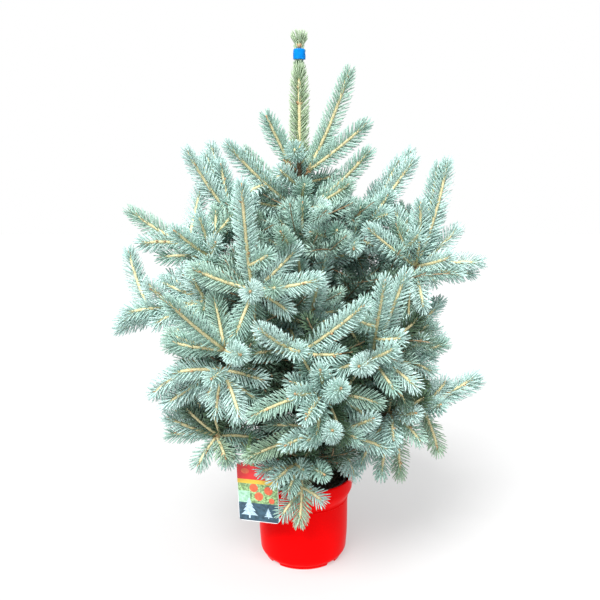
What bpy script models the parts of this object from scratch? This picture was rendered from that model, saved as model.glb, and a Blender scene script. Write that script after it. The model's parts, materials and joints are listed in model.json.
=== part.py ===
"""A young blue spruce in a plastic pot, built as separate solids: the trunk, its boughs, the masses of
needled shoots at their ends, the leading shoot with its band of tape, the pot, its liner, the peat and
the label. Metres, +Z up. The origin is the middle of the pot's flat underside."""

import math
import random

import bmesh
import bpy
import numpy as np
from mathutils import Matrix, Vector

MM = 0.001
UP = Vector((0, 0, 1))
GAP = 0.3 * MM  # left between neighbours that touch

# The pot, its black liner and the peat.
POT_HEIGHT = 0.185
POT_RIM_RADIUS = 0.1065
POT_BODY_RADIUS = 0.0965
POT_FOOT_RADIUS = 0.084
POT_BASE_RADIUS = 0.094  # where the fillet at the base ends
POT_STRAIGHT_FROM = 0.062  # height above which the body is a cylinder
POT_WALL = 0.0025
COLLAR_HEIGHT = 0.048
COLLAR_SWELL = 0.022  # height over which the collar swells out
RIM_BEAD = 0.0022  # radius of the rolled rim
BASE_FILLET = 0.020
FOOT_HEIGHT = 0.007
FOOT_WIDTH = 0.008
PAD_RADIUS = 0.058  # flat middle of the underside; the drainage channel runs round it
FOOT_NOTCHES = 4
NOTCH_WIDTH = 0.024
POT_SEGMENTS = 32
LINER_SEGMENTS = 28
PEAT_SEGMENTS = 24
BAND_SEGMENTS = 14
LINER_WALL = 0.0015
LINER_HEIGHT = 0.176
LINER_CLEARANCE = 0.0035
LINER_TAPER = 0.004  # from its lip down to its middle
LINER_MIDDLE = 0.070
LIP_HEIGHT = 0.006
LIP_WIDTH = 0.002
PEAT_TOP = 0.164
PEAT_CLEARANCE = 0.0014  # from the liner's inner side

# The trunk, from its flat cut on the peat to the top whorl, and the leading shoot above it.
TRUNK_FOOT = PEAT_TOP + GAP
TRUNK_TOP = 0.856
TRUNK_FOOT_RADIUS = 0.0145
TRUNK_TOP_RADIUS = 0.0048
TRUNK_LEAN = -0.009
TRUNK_BOW = 0.004
TRUNK_SWAY = 0.003
TRUNK_TAPER = 0.85  # power of the height; below 1 it thins sooner
ROOT_FLARE = 0.007
ROOT_FLARE_HEIGHT = 0.022
TRUNK_SIDES = 10
TRUNK_RINGS = 8  # above the root flare
LEADER_LENGTH = 0.245
BAND_BOTTOM = 1.046
BAND_HEIGHT = 0.019
BAND_RADIUS = 0.0125
BAND_MARGIN = 0.004  # kept free of needles above and below the tape

# Boughs: one tapering limb each, which leaves the trunk nearly level and sweeps up to its hub.
BOUGH_BASE_RADIUS = 0.0055
BOUGH_TIP_RADIUS = 0.0028
BOUGH_SIDES = 5
BOUGH_RINGS = 4
BOUGH_RISE = 0.15  # how far a bough at the lowest hub climbs, per metre of reach
BOUGH_RISE_GAIN = 0.9  # and how much more for each metre that its hub is higher
LOWEST_HUB = 0.30
LONGEST_BOUGH = 0.4
SHORT_LIMB = 0.05  # a limb no longer than this is one straight piece

# Shoots: a slim three-sided core that needles stand out of, each one standing for a tuft.
CORE_RADIUS = 0.0026
CORE_TIP_RADIUS = 0.0014
CORE_SIDES = 3
NEEDLE = 0.025
NEEDLE_LEAN = 34  # degrees forward of square to the shoot
TIP_LEAN = 26  # and this much more at its tip
TIP_SHORTENING = 0.25
SHORT_SHARE = 0.3  # no needle is longer than this share of its shoot
ROW_PITCH = 0.025
SPIRAL = -12  # degrees that each corner of the core turns short of an even third
BARE_FOOT = 0.009
SUNK = 0.0024
TIP_CONE = 0.008
STUB = 0.008
KNOB = 0.006  # radius of the swelling at a hub, which its shoots grow out of
KEEP_OFF = 1.3 * MM  # between a needle and the space of a neighbour
TWIG_ROOM = 0.034
TWIG_SEED = 5
TWIG_PLACE = 0.45  # along the shoot that it leaves
TWIG_LENGTH = 0.47  # of that shoot's length
SHORTEST_TWIG = 0.045
STEEP = 0.05  # a heading's level part, below which it counts as upright
ARCH_LEVEL = 0.04  # of its length, that a level or hanging shoot arches over
ARCH_RISING = -0.02  # and that a rising one sweeps up
LEVEL_RISE = 8  # degrees

# The label: a printed plastic card that hangs from a low shoot by a strap looped over it.
CARD_SIZE = (0.086, 0.0012, 0.124)
CARD_CENTRE = (-0.0915, -0.1341, 0.1980)
CARD_ROLL = -2
CARD_TURN = -17
CARD_CORNER = 0.007
STRAP_WIDTH = 0.008
STRAP_THICKNESS = 0.0010
STRAP_MARGIN = 0.008  # kept free of needles on either side of the strap
STRAP_ROOT = 0.003  # how far it reaches down into the card
LOOP_RADIUS = 0.0050  # to the middle of the strap
LOOP_HEIGHT = 0.0359  # of the loop's middle above the card
LOOP_TAIL = 0.007  # that hangs down in front of the shoot
LOOP_SEGMENTS = 8

# Colour, roughness and metallic value of each finish.
FINISHES = {
    "red_plastic": ((0.85, 0.012, 0.016), 0.22, 0.0),
    "black_plastic": ((0.012, 0.012, 0.013), 0.45, 0.0),
    "peat": ((0.035, 0.022, 0.014), 0.95, 0.0),
    "bark": ((0.23, 0.15, 0.09), 0.85, 0.0),
    "blue_needles": ((0.24, 0.45, 0.44), 0.6, 0.0),
    "blue_tape": ((0.02, 0.16, 0.62), 0.35, 0.0),
    "printed_card": ((0.62, 0.16, 0.07), 0.4, 0.0),
}

# Each mass of shoots: whether a bough carries it or it grows straight from the trunk, its hub in
# millimetres (x to the right, y to the back, z up), then its shoots as (turn, rise, length in mm[, at]):
# turn is the compass direction in degrees from +X towards +Y, rise the slope above level, and at how far
# along the mass's first shoot it leaves it.
MASSES = {
    "top_left": ("trunk", (-28, -16, 846), ((206, 61, 112),)),
    "top_right": ("trunk", (8, -24, 830), ((348, 67, 215), (334, 36, 160))),
    "upper_right": ("trunk", (8, -22, 756), ((335, 41, 179), (307, 22, 145))),
    "upper_left": ("trunk", (-24, -22, 762), ((212, 40, 192), (232, -14, 82, 0.35))),
    "upper_front": ("trunk", (-11, -34, 650), ((259, 25, 190), (203, 10, 122), (335, 12, 132))),
    "top_back_left": ("trunk", (-22, 17, 840), ((124, 45, 133),)),
    "top_back_right": ("trunk", (2, 20, 816), ((62, 42, 165), (95, 12, 120))),
    "upper_back": (
        "trunk", (-8, 30, 745), (
            (85, 30, 190), (146, 17, 177), (46, 14, 160), (112, -8, 150), (60, -12, 150),
        ),
    ),
    "left_high": (
        "bough", (-137, -20, 729), (
            (197, 56, 178), (138, 65, 178), (163, 75, 128), (165, 59, 148),
        ),
    ),
    "left_upper": (
        "bough", (-180, -80, 664), (
            (173, 29, 194), (205, 4, 93, 0.3), (221, 35, 111), (74, 72, 108), (74, 57, 143, 0.25),
            (283, 28, 92), (187, 2, 107),
        ),
    ),
    "front_upper": (
        "bough", (-94, -200, 622), (
            (261, 70, 212), (343, 11, 140), (200, 22, 124), (272, 8, 110),
        ),
    ),
    "right_high": (
        "bough", (100, -40, 695), (
            (19, 55, 220), (266, -2, 130), (219, 11, 126), (150, 36, 105), (344, 53, 124), (21, 64, 127),
        ),
    ),
    "right_upper": (
        "bough", (224, -50, 642), (
            (0, 75, 223), (216, 33, 162), (0, 4, 140), (61, 58, 152), (18, 39, 126), (178, 77, 108),
            (346, -9, 98), (323, 19, 88), (218, 56, 116), (272, 78, 141), (348, -34, 59),
        ),
    ),
    "left_middle": (
        "bough", (-188, -120, 588), (
            (168, -20, 208), (197, -2, 91, 0.35), (138, 60, 146, 0.54), (214, 44, 84, 0.3), (155, 26, 103),
            (216, 60, 72), (185, -25, 119), (174, -15, 187),
        ),
    ),
    "left_front": (
        "bough", (-143, -220, 515), (
            (225, 41, 170), (135, 74, 110), (50, 53, 88), (170, 13, 118), (289, 10, 128), (177, 8, 108),
        ),
    ),
    "front_middle": (
        "bough", (-8, -200, 504), (
            (319, 37, 188), (230, 31, 136), (323, 8, 100), (206, 6, 108),
        ),
    ),
    "front_inner": (
        "trunk", (8, -80, 532), (
            (279, 43, 165), (227, 20, 144), (228, -8, 122), (245, 72, 176), (330, 74, 158),
        ),
    ),
    "right_front": (
        "bough", (129, -160, 488), (
            (325, 68, 186), (278, 62, 188), (256, 8, 166), (305, 6, 72), (322, -24, 116),
        ),
    ),
    "right_middle": (
        "bough", (183, -50, 458), (
            (313, -7, 110), (306, 57, 112), (23, 54, 130), (297, 30, 120), (28, 45, 153), (353, 15, 117),
            (19, 28, 120), (340, -36, 105), (352, 9, 71), (34, 66, 129),
        ),
    ),
    "left_low_front": (
        "bough", (-151, -200, 472), (
            (192, 0, 98), (297, -38, 112), (246, -72, 90), (140, -33, 134, 0.6), (121, -48, 160, 0.3),
            (335, -6, 96), (151, 5, 103), (164, -61, 74), (157, -33, 153),
        ),
    ),
    "left_low": (
        "bough", (-173, -120, 313), (
            (226, -44, 78), (180, 2, 103), (172, 47, 100), (134, 44, 152), (293, -24, 72), (334, 6, 105),
            (188, 24, 114), (157, 23, 113), (346, -15, 128), (320, -34, 72),
        ),
    ),
    "front_low": (
        "bough", (39, -200, 430), (
            (216, -5, 170), (241, 14, 128), (252, -6, 128), (280, 20, 148), (262, 38, 118),
            (205, 22, 86), (352, -10, 112),
        ),
    ),
    "front_lower": (
        "bough", (56, -160, 336), (
            (231, 7, 154), (205, -7, 186), (267, 22, 160), (314, 28, 125), (340, -10, 120),
            (28, 10, 110), (176, 5, 138),
        ),
    ),
    "front_hanging": (
        "trunk", (-1, -125, 268), (
            (262, -66, 134), (235, -8, 108), (246, -30, 92), (288, 8, 136), (203, -46, 70, 0.45),
            (336, -24, 56, 0.4),
        ),
    ),
    "right_low_front": (
        "bough", (174, -120, 361), (
            (297, 17, 94), (266, -18, 92), (312, -27, 90), (47, -77, 157), (226, -76, 136),
            (266, -44, 83), (184, -60, 136),
        ),
    ),
    "right_low": (
        "bough", (246, -50, 347), (
            (0, 50, 84), (12, 19, 131, 0.1), (281, 22, 118), (317, -63, 104), (56, -67, 92),
        ),
    ),
    "middle_back_right": ("bough", (125, 135, 520), ()),
    "middle_back": ("bough", (-15, 190, 545), ()),
    "middle_back_left": ("bough", (-150, 125, 515), ()),
    "low_back_right": ("bough", (125, 150, 355), ()),
    "low_back_left": ("bough", (-125, 155, 350), ()),
}

# A mass with no shoots of its own listed grows this fan about its hub's compass direction.
FAN = (
    (0, 20, 190), (-42, 30, 160), (44, 26, 160), (-80, 4, 120), (82, 10, 120), (-14, 60, 150), (16, -24, 130),
    (-36, -14, 120), (150, 55, 110),
)
FAN_JITTER = (7, 6, 12)  # degrees of turn, degrees of rise and millimetres of length, either way


def clear_scene():
    for obj in list(bpy.data.objects):
        bpy.data.objects.remove(obj, do_unlink=True)


def finish(name):
    """The Principled material of a finish, made the first time it is asked for."""
    material = bpy.data.materials.get(name)
    if material is None:
        colour, roughness, metallic = FINISHES[name]
        material = bpy.data.materials.new(name)
        material.use_nodes = True
        shader = material.node_tree.nodes["Principled BSDF"]
        shader.inputs["Base Color"].default_value = (*colour, 1)
        shader.inputs["Roughness"].default_value = roughness
        shader.inputs["Metallic"].default_value = metallic
    return material


def add_object(name, points, faces, material, smooth=False):
    mesh = bpy.data.meshes.new(name)
    mesh.from_pydata([tuple(p) for p in points], [], faces)
    mesh.validate()
    if smooth:
        mesh.shade_smooth()
        mesh.set_sharp_from_angle(angle=math.radians(40))
    obj = bpy.data.objects.new(name, mesh)
    obj.data.materials.append(finish(material))
    bpy.context.scene.collection.objects.link(obj)
    return obj


def apply_modifiers(obj):
    graph = bpy.context.evaluated_depsgraph_get()
    mesh = bpy.data.meshes.new_from_object(obj.evaluated_get(graph))
    old = obj.data
    obj.modifiers.clear()
    obj.data = mesh
    mesh.name = old.name
    bpy.data.meshes.remove(old)


def direction(turn, rise):
    turn, rise = math.radians(turn), math.radians(rise)
    return Vector((math.cos(turn) * math.cos(rise), math.sin(turn) * math.cos(rise), math.sin(rise)))


def blend(a, b, t):
    return a + (b - a) * t


# ---- Curves and tubes -------------------------------------------------------------------------------


def curve_through(start, control, end, count):
    """Points along a quadratic curve from start to end, drawn towards control."""
    steps = [i / count for i in range(count + 1)]
    return [start * (1 - t) ** 2 + control * (2 * t * (1 - t)) + end * t**2 for t in steps]


def frames_along(points):
    """(tangent, side, other side) at each point, carried along without twisting."""
    tangents = []
    for i in range(len(points)):
        ahead, behind = points[min(i + 1, len(points) - 1)], points[max(i - 1, 0)]
        tangents.append((ahead - behind).normalized())
    side = tangents[0].orthogonal().normalized()
    frames = []
    for tangent in tangents:
        side = (side - tangent * side.dot(tangent)).normalized()
        frames.append((tangent, side, tangent.cross(side)))
    return frames


def ring_points(centre, frame, radius, sides, phase=0.0):
    angles = [phase + 2 * math.pi * k / sides for k in range(sides)]
    return [centre + (frame[1] * math.cos(a) + frame[2] * math.sin(a)) * radius for a in angles]


def tube(points, radii, sides):
    """Points and faces of a closed tube with flat ends."""
    verts, faces = [], []
    for centre, frame, radius in zip(points, frames_along(points), radii):
        verts += ring_points(centre, frame, radius, sides)
    for ring in range(len(points) - 1):
        for k in range(sides):
            a, b = ring * sides + k, ring * sides + (k + 1) % sides
            faces.append((a, b, b + sides, a + sides))
    last = (len(points) - 1) * sides
    faces.append(tuple(reversed(range(sides))))
    faces.append(tuple(range(last, last + sides)))
    return verts, faces


# ---- Trunk and boughs -------------------------------------------------------------------------------


def trunk_centre(height):
    """The trunk leans a little to the left and bows back towards its top."""
    t = (height - TRUNK_FOOT) / (TRUNK_TOP - TRUNK_FOOT)
    x = TRUNK_LEAN * t + TRUNK_BOW * math.sin(math.pi * t)
    return Vector((x, TRUNK_SWAY * math.sin(2 * math.pi * t), height))


def trunk_radius(height):
    t = (height - TRUNK_FOOT) / (TRUNK_TOP - TRUNK_FOOT)
    flare = ROOT_FLARE * max(0.0, 1 - (height - TRUNK_FOOT) / ROOT_FLARE_HEIGHT) ** 2
    return TRUNK_FOOT_RADIUS + (TRUNK_TOP_RADIUS - TRUNK_FOOT_RADIUS) * t**TRUNK_TAPER + flare


def build_trunk():
    heights = [TRUNK_FOOT + ROOT_FLARE_HEIGHT * t for t in (0.0, 0.25, 0.55, 1.0)]
    heights += [blend(heights[-1], TRUNK_TOP, (i + 1) / TRUNK_RINGS) for i in range(TRUNK_RINGS)]
    radii = [trunk_radius(height) for height in heights]
    level = (UP, Vector((1, 0, 0)), Vector((0, 1, 0)))
    verts = [p for h, r in zip(heights, radii) for p in ring_points(trunk_centre(h), level, r, TRUNK_SIDES)]
    faces = tube([UP * h for h in heights], radii, TRUNK_SIDES)[1]
    return add_object("trunk", verts, faces, "bark", smooth=True)


class Limb:
    """What carries a mass: its curve from the trunk's skin to the hub, and how thick it is."""

    def __init__(self, name, carried_by, hub):
        self.name = name
        self.is_bough = carried_by == "bough"
        hub = Vector(hub) * MM
        reach = math.hypot(hub.x, hub.y)
        leave = hub.z - reach * (BOUGH_RISE + BOUGH_RISE_GAIN * max(0.0, hub.z - LOWEST_HUB))
        start = trunk_centre(leave)
        control = start.lerp(hub, 0.55)
        control.z = blend(start.z, hub.z, 0.25)
        out = (control - start).normalized()
        self.base_radius = BOUGH_BASE_RADIUS * min(1.0, 0.55 + reach / LONGEST_BOUGH)
        self.tip_radius = BOUGH_TIP_RADIUS
        level = math.hypot(out.x, out.y)
        slope = abs(out.z) / level
        clear_of_trunk = trunk_radius(leave) / level + self.base_radius * (slope + 0.25) + 2 * GAP
        start += out * clear_of_trunk
        rings = BOUGH_RINGS if reach > SHORT_LIMB else 1
        hub = hub - (hub - curve_through(start, control, hub, 8)[-2]).normalized() * STUB
        self.points = curve_through(start, control, hub, rings)
        self.along = (self.points[-1] - self.points[-2]).normalized()
        self.hub = hub

    def radii(self, count):
        return [blend(self.base_radius, self.tip_radius, i / (count - 1)) for i in range(count)]

    def build_bough(self):
        points = self.points[:-1] + [self.hub - self.along * GAP]
        shape = tube(points, self.radii(len(points)), BOUGH_SIDES)
        return add_object("bough_" + self.name, *shape, "bark", smooth=True)


# ---- Shoots -----------------------------------------------------------------------------------------


def spiral_stops(length, parent_radius):
    """How far along a shoot each corner of its spiral is: a bare foot, then rows of needles to the tip."""
    foot, end = BARE_FOOT + parent_radius, length - TIP_CONE
    rows = max(2, round((end - foot) / ROW_PITCH))
    stops = [blend(-SUNK, foot, i / CORE_SIDES) for i in range(CORE_SIDES)]
    return stops + [blend(foot, end, i / (rows * CORE_SIDES)) for i in range(rows * CORE_SIDES + 1)]


class Shoot:
    """One needled shoot: its core's path from inside its parent to its tip."""

    def __init__(self, owner, base, heading, length, rng, parent_radius=CORE_RADIUS):
        self.owner = owner
        self.base = base
        self.heading = heading
        self.length = length
        self.phase = rng.uniform(0, 2 * math.pi)
        sideways = heading.cross(UP)
        sideways = sideways.normalized() if sideways.length > STEEP else Vector((1, 0, 0))
        upright = sideways.cross(heading).normalized()
        steep = math.degrees(math.asin(heading.z))
        arch = ARCH_LEVEL if steep < LEVEL_RISE else ARCH_RISING
        self.bow = upright * (arch + rng.uniform(-0.01, 0.01)) + sideways * rng.uniform(-0.02, 0.02)
        self.points = [self.at(s / length) for s in spiral_stops(length, parent_radius)]
        self.tip = self.at(1.0)

    def at(self, t):
        return self.base + (self.heading * t + self.bow * 4 * t * (1 - t)) * self.length

    def heading_at(self, t):
        return (self.at(min(1.0, t + 0.02)) - self.at(t - 0.02)).normalized()


def listed_shoots(name, limb):
    """The shoots of a mass, in the order of its list, from the end of the short stub past its hub."""
    rng = random.Random(name)
    start = limb.hub + limb.along * STUB
    rows = MASSES[name][2]
    if not rows:
        outward = math.degrees(math.atan2(limb.hub.y, limb.hub.x))
        for turn, rise, length in FAN:
            turned_by, raised_by, longer_by = (rng.uniform(-most, most) for most in FAN_JITTER)
            rows += ((outward + turn + turned_by, rise + raised_by, length + longer_by),)
    shoots = []
    for row in rows:
        heading, length = direction(*row[:2]), row[2] * MM
        if len(row) > 3:
            base = shoots[0].at(row[3])
        else:
            base = start + heading * (KNOB - SUNK / 3)
            length -= (base - start).length
        shoots.append(Shoot(name, base, heading, length, rng))
    return shoots


def segments_of(points):
    return [(*points[i], *points[i + 1]) for i in range(len(points) - 1)]


def distances(points, segments):
    """Distance from each point to each segment, as an array of points by segments."""
    a, ab = segments[:, :3], segments[:, 3:] - segments[:, :3]
    square = np.maximum((ab**2).sum(axis=1), 1e-12)
    found = np.empty((len(points), len(segments)))
    for i, p in enumerate(points):
        t = np.clip(((p - a) * ab).sum(axis=1) / square, 0, 1)
        found[i] = np.linalg.norm(p - a - ab * t[:, None], axis=1)
    return found


def card_matrix():
    roll = Matrix.Rotation(math.radians(CARD_ROLL), 4, "Y")
    turn = Matrix.Rotation(math.radians(CARD_TURN), 4, "Z")
    return Matrix.Translation(CARD_CENTRE) @ turn @ roll


def outside_pot_and_label(point):
    """How far a point is outside the pot and the hanging label, roughly, and below zero inside them."""
    pot = max(math.hypot(point[0], point[1]) - POT_RIM_RADIUS, point[2] - POT_HEIGHT)
    local = card_matrix().inverted() @ Vector(point)
    width, depth, height = (side / 2 for side in CARD_SIZE)
    card = max(abs(local.x) - width, abs(local.y) - depth, abs(local.z) - height)
    reach = LOOP_RADIUS + STRAP_THICKNESS / 2
    across, up = abs(local.y + LOOP_RADIUS) - reach, abs(local.z - height) - LOOP_HEIGHT - reach
    strap = max(abs(local.x) - STRAP_WIDTH / 2 - STRAP_MARGIN, across, up)
    stem = leader_centre()
    from_stem = math.hypot(point[0] - stem.x, point[1] - stem.y)
    from_band = abs(point[2] - BAND_BOTTOM - BAND_HEIGHT / 2) - BAND_HEIGHT / 2
    band = max(from_stem - BAND_RADIUS, from_band - BAND_MARGIN)
    return min(pot, card, strap, band)


class Space:
    """Which shoot each place belongs to: the one whose core is nearest."""

    def __init__(self, limbs):
        self.segments, self.owners = [], []
        self.limb_segments, self.limb_radii = [], []
        heights = np.linspace(TRUNK_FOOT, TRUNK_TOP, 12)
        self.add_limb([trunk_centre(h) for h in heights], [trunk_radius(h) for h in heights])
        for limb in limbs.values():
            self.add_limb(limb.points, limb.radii(len(limb.points)))

    def add_limb(self, points, radii):
        self.limb_segments += segments_of(points)
        self.limb_radii += list(radii[:-1])

    def add_shoots(self, shoots):
        for shoot in shoots:
            found = segments_of(shoot.points + [shoot.tip])
            self.segments += found
            self.owners += [id(shoot)] * len(found)
        self.table = np.array(self.segments)
        self.owner_table = np.array(self.owners)
        self.limb_table = np.array(self.limb_segments)
        self.limb_thickness = np.array(self.limb_radii)

    def room(self, shoot, points):
        """How much further each point is from the nearest neighbour than from its own shoot."""
        points = np.array(points)
        found = distances(points, self.table)
        own = self.owner_table == id(shoot)
        ahead = found[:, ~own].min(axis=1) - found[:, own].min(axis=1) - KEEP_OFF
        limbs = (distances(points, self.limb_table) - self.limb_thickness).min(axis=1) - KEEP_OFF / 2
        things = np.array([outside_pot_and_label(p) for p in points]) - KEEP_OFF
        return np.minimum(np.minimum(ahead, limbs), things)

    def twig_fits(self, shoot):
        """A side twig needs room all round its outer part."""
        outer = np.array([shoot.at(t) for t in (0.35, 0.55, 0.75, 1.0)])
        nearest = distances(outer, self.table).min(axis=1)
        limbs = (distances(outer, self.limb_table) - self.limb_thickness).min()
        things = min(outside_pot_and_label(p) for p in outer)
        return nearest[1:].min() > TWIG_ROOM and limbs > TWIG_ROOM / 2 and things > TWIG_ROOM / 2


def side_twigs(shoots, space):
    """One seeded side twig on each long shoot, always to the same hand; one that has no room is skipped."""
    rng = random.Random(TWIG_SEED)
    grown = []
    for shoot in shoots:
        bend = math.radians(-rng.uniform(42, 58))
        length = shoot.length * TWIG_LENGTH * rng.uniform(0.85, 1.1)
        if length < SHORTEST_TWIG:
            continue
        heading = shoot.heading_at(TWIG_PLACE)
        across = heading.cross(UP)
        across = across.normalized() if across.length > STEEP else Vector((1, 0, 0))
        heading = (heading * math.cos(bend) + across * math.sin(bend)).normalized()
        twig = Shoot(shoot.owner, shoot.at(TWIG_PLACE), heading, length, rng)
        if space.twig_fits(twig):
            grown.append(twig)
            space.add_shoots([twig])
    return grown


def needled_core(shoot, space):
    """Points and faces of a shoot. Corners wind round its core in a helix, and between them each four-
    cornered patch past the bare foot rises to one needle, so the needles stand in a spiral."""
    points, sides = shoot.points, CORE_SIDES
    frames = frames_along(points)
    last = len(points) - 1
    verts = []
    for i, (centre, frame) in enumerate(zip(points, frames)):
        radius = blend(CORE_RADIUS, CORE_TIP_RADIUS, i / last)
        angle = shoot.phase + i * math.radians(360 / sides + SPIRAL)
        verts.append(centre + (frame[1] * math.cos(angle) + frame[2] * math.sin(angle)) * radius)
    faces = [(3, 2, 1, 0)]
    for n in range(last - sides):
        patch = (n, n + 1, n + 1 + sides, n + sides)
        middle = n + (sides + 1) / 2
        apex = None
        if n >= sides:
            apex = needle_apex(shoot, space, [verts[v] for v in patch], frames, middle)
        if apex is None:
            faces += [(patch[0], patch[1], patch[2]), (patch[0], patch[2], patch[3])]
            continue
        verts.append(apex)
        faces += [(patch[i], patch[(i + 1) % 4], len(verts) - 1) for i in range(4)]
    verts.append(shoot.tip)
    end = [last - sides, last - 2, last - 1, last]
    faces += [(end[i], end[(i + 1) % 4], len(verts) - 1) for i in range(4)]
    return verts, faces


def needle_apex(shoot, space, corners, frames, place):
    """Where a needle ends: shortened, or left out, where it would leave the space of its mass. Place is
    its place in the list of the core's points; near the tip needles close up and shorten."""
    middle = sum(corners, Vector()) / 4
    along = frames[round(place)][0]
    outward = middle - shoot.points[round(place)]
    outward = (outward - along * outward.dot(along)).normalized()
    close_up = (place / (len(frames) - 1)) ** 5
    lean = math.radians(NEEDLE_LEAN + TIP_LEAN * close_up)
    reach = outward * math.cos(lean) + along * math.sin(lean)
    full = min(NEEDLE, shoot.length * SHORT_SHARE) * (1 - TIP_SHORTENING * close_up)
    for share in (1.0, 0.75, 0.5):
        apex = middle + reach * (full * share)
        samples = [start.lerp(apex, t) for start in corners + [middle] for t in (0.3, 0.65, 1.0)]
        if space.room(shoot, samples).min() > 0:
            return apex
    return None


def largest_island(obj):
    """Keeps the main body of a union, dropping loose scraps and the skins of sealed hollows."""
    shape = bmesh.new()
    shape.from_mesh(obj.data)
    left = set(shape.faces)
    islands = []
    while left:
        front = [left.pop()]
        island = list(front)
        while front:
            face = front.pop()
            for edge in face.edges:
                for other in edge.link_faces:
                    if other in left:
                        left.remove(other)
                        front.append(other)
                        island.append(other)
        islands.append(island)
    islands.sort(key=len)
    for island in islands[:-1]:
        bmesh.ops.delete(shape, geom=island, context="FACES")
    bmesh.ops.triangulate(shape, faces=shape.faces)
    shape.to_mesh(obj.data)
    shape.free()


def fuse(name, pieces, material):
    """One body from overlapping closed pieces, joined by a Boolean union on a collection."""
    objects = [add_object(f"{name}_{i}", *piece, material) for i, piece in enumerate(pieces)]
    first = objects[0]
    if len(objects) > 1:
        group = bpy.data.collections.new(name)
        bpy.context.scene.collection.children.link(group)
        for other in objects[1:]:
            bpy.context.scene.collection.objects.unlink(other)
            group.objects.link(other)
        union = first.modifiers.new("union", "BOOLEAN")
        union.operation = "UNION"
        union.operand_type = "COLLECTION"
        union.collection = group
        union.solver = "EXACT"
        apply_modifiers(first)
        for other in objects[1:]:
            bpy.data.objects.remove(other, do_unlink=True)
        bpy.data.collections.remove(group)
    largest_island(first)
    first.name = name
    return first


def knob(centre):
    shape = bmesh.new()
    bmesh.ops.create_icosphere(shape, subdivisions=1, radius=KNOB, matrix=Matrix.Translation(centre))
    verts = [v.co.copy() for v in shape.verts]
    faces = [tuple(v.index for v in face.verts) for face in shape.faces]
    shape.free()
    return verts, faces


def build_mass(name, limb, shoots, space):
    end = limb.hub + limb.along * STUB
    if limb.is_bough:
        stem, radii = [limb.hub, end], [limb.tip_radius] * 2
    else:
        stem = limb.points + [end]
        radii = limb.radii(len(limb.points)) + [limb.tip_radius]
    pieces = [tube(stem, radii, BOUGH_SIDES), knob(end)]
    pieces += [needled_core(shoot, space) for shoot in shoots]
    return fuse("shoots_" + name, pieces, "blue_needles")


# ---- The leading shoot and its tape -----------------------------------------------------------------


def leader_centre():
    return trunk_centre(TRUNK_TOP)


def leader_shoot():
    base = leader_centre() + UP * GAP
    shoot = Shoot("leader", base, UP, LEADER_LENGTH, random.Random("leader"))
    shoot.bow = Vector()
    shoot.points = [shoot.at((s + SUNK) / LEADER_LENGTH) for s in spiral_stops(LEADER_LENGTH - SUNK, 0.0)]
    shoot.tip = shoot.at(1.0)
    return shoot


def build_leader(shoot, space):
    return fuse("shoot_leader", [needled_core(shoot, space)], "blue_needles")


def build_band():
    """The tape is wound flat over the needles, so it is a short thick ring round the stem."""
    centre = leader_centre()
    inner = CORE_RADIUS + GAP
    profile = [(inner, 0), (BAND_RADIUS, 0), (BAND_RADIUS, BAND_HEIGHT), (inner, BAND_HEIGHT)]
    ring = turned("leader_band", profile, "blue_tape", BAND_SEGMENTS)
    for vertex in ring.data.vertices:
        vertex.co += Vector((centre.x, centre.y, BAND_BOTTOM))
    return ring


# ---- Pot, liner, peat and label ---------------------------------------------------------------------


def arc(centre, radius, start, end, count):
    angles = [math.radians(blend(start, end, i / count)) for i in range(count + 1)]
    return [(centre[0] + radius * math.cos(a), centre[1] + radius * math.sin(a)) for a in angles]


def turned(name, profile, material, segments):
    """A closed outline of (radius, height) turned about the Z axis; points on the axis become poles."""
    verts, faces, rows = [], [], []
    for radius, height in profile:
        if radius < 1e-6:
            verts.append((0, 0, height))
            rows.append([len(verts) - 1] * segments)
            continue
        first = len(verts)
        for k in range(segments):
            angle = 2 * math.pi * k / segments
            verts.append((radius * math.cos(angle), radius * math.sin(angle), height))
        rows.append([first + k for k in range(segments)])
    open_outline = profile[0][0] < 1e-6 and profile[-1][0] < 1e-6
    pairs = list(zip(rows, rows[1:])) + ([] if open_outline else [(rows[-1], rows[0])])
    for low, high in pairs:
        for k in range(segments):
            after = (k + 1) % segments
            corners = [low[k], low[after], high[after], high[k]]
            face = [c for i, c in enumerate(corners) if c != corners[i - 1]]
            if len(face) > 2:
                faces.append(tuple(face))
    return add_object(name, verts, faces, material, smooth=True)


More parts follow.
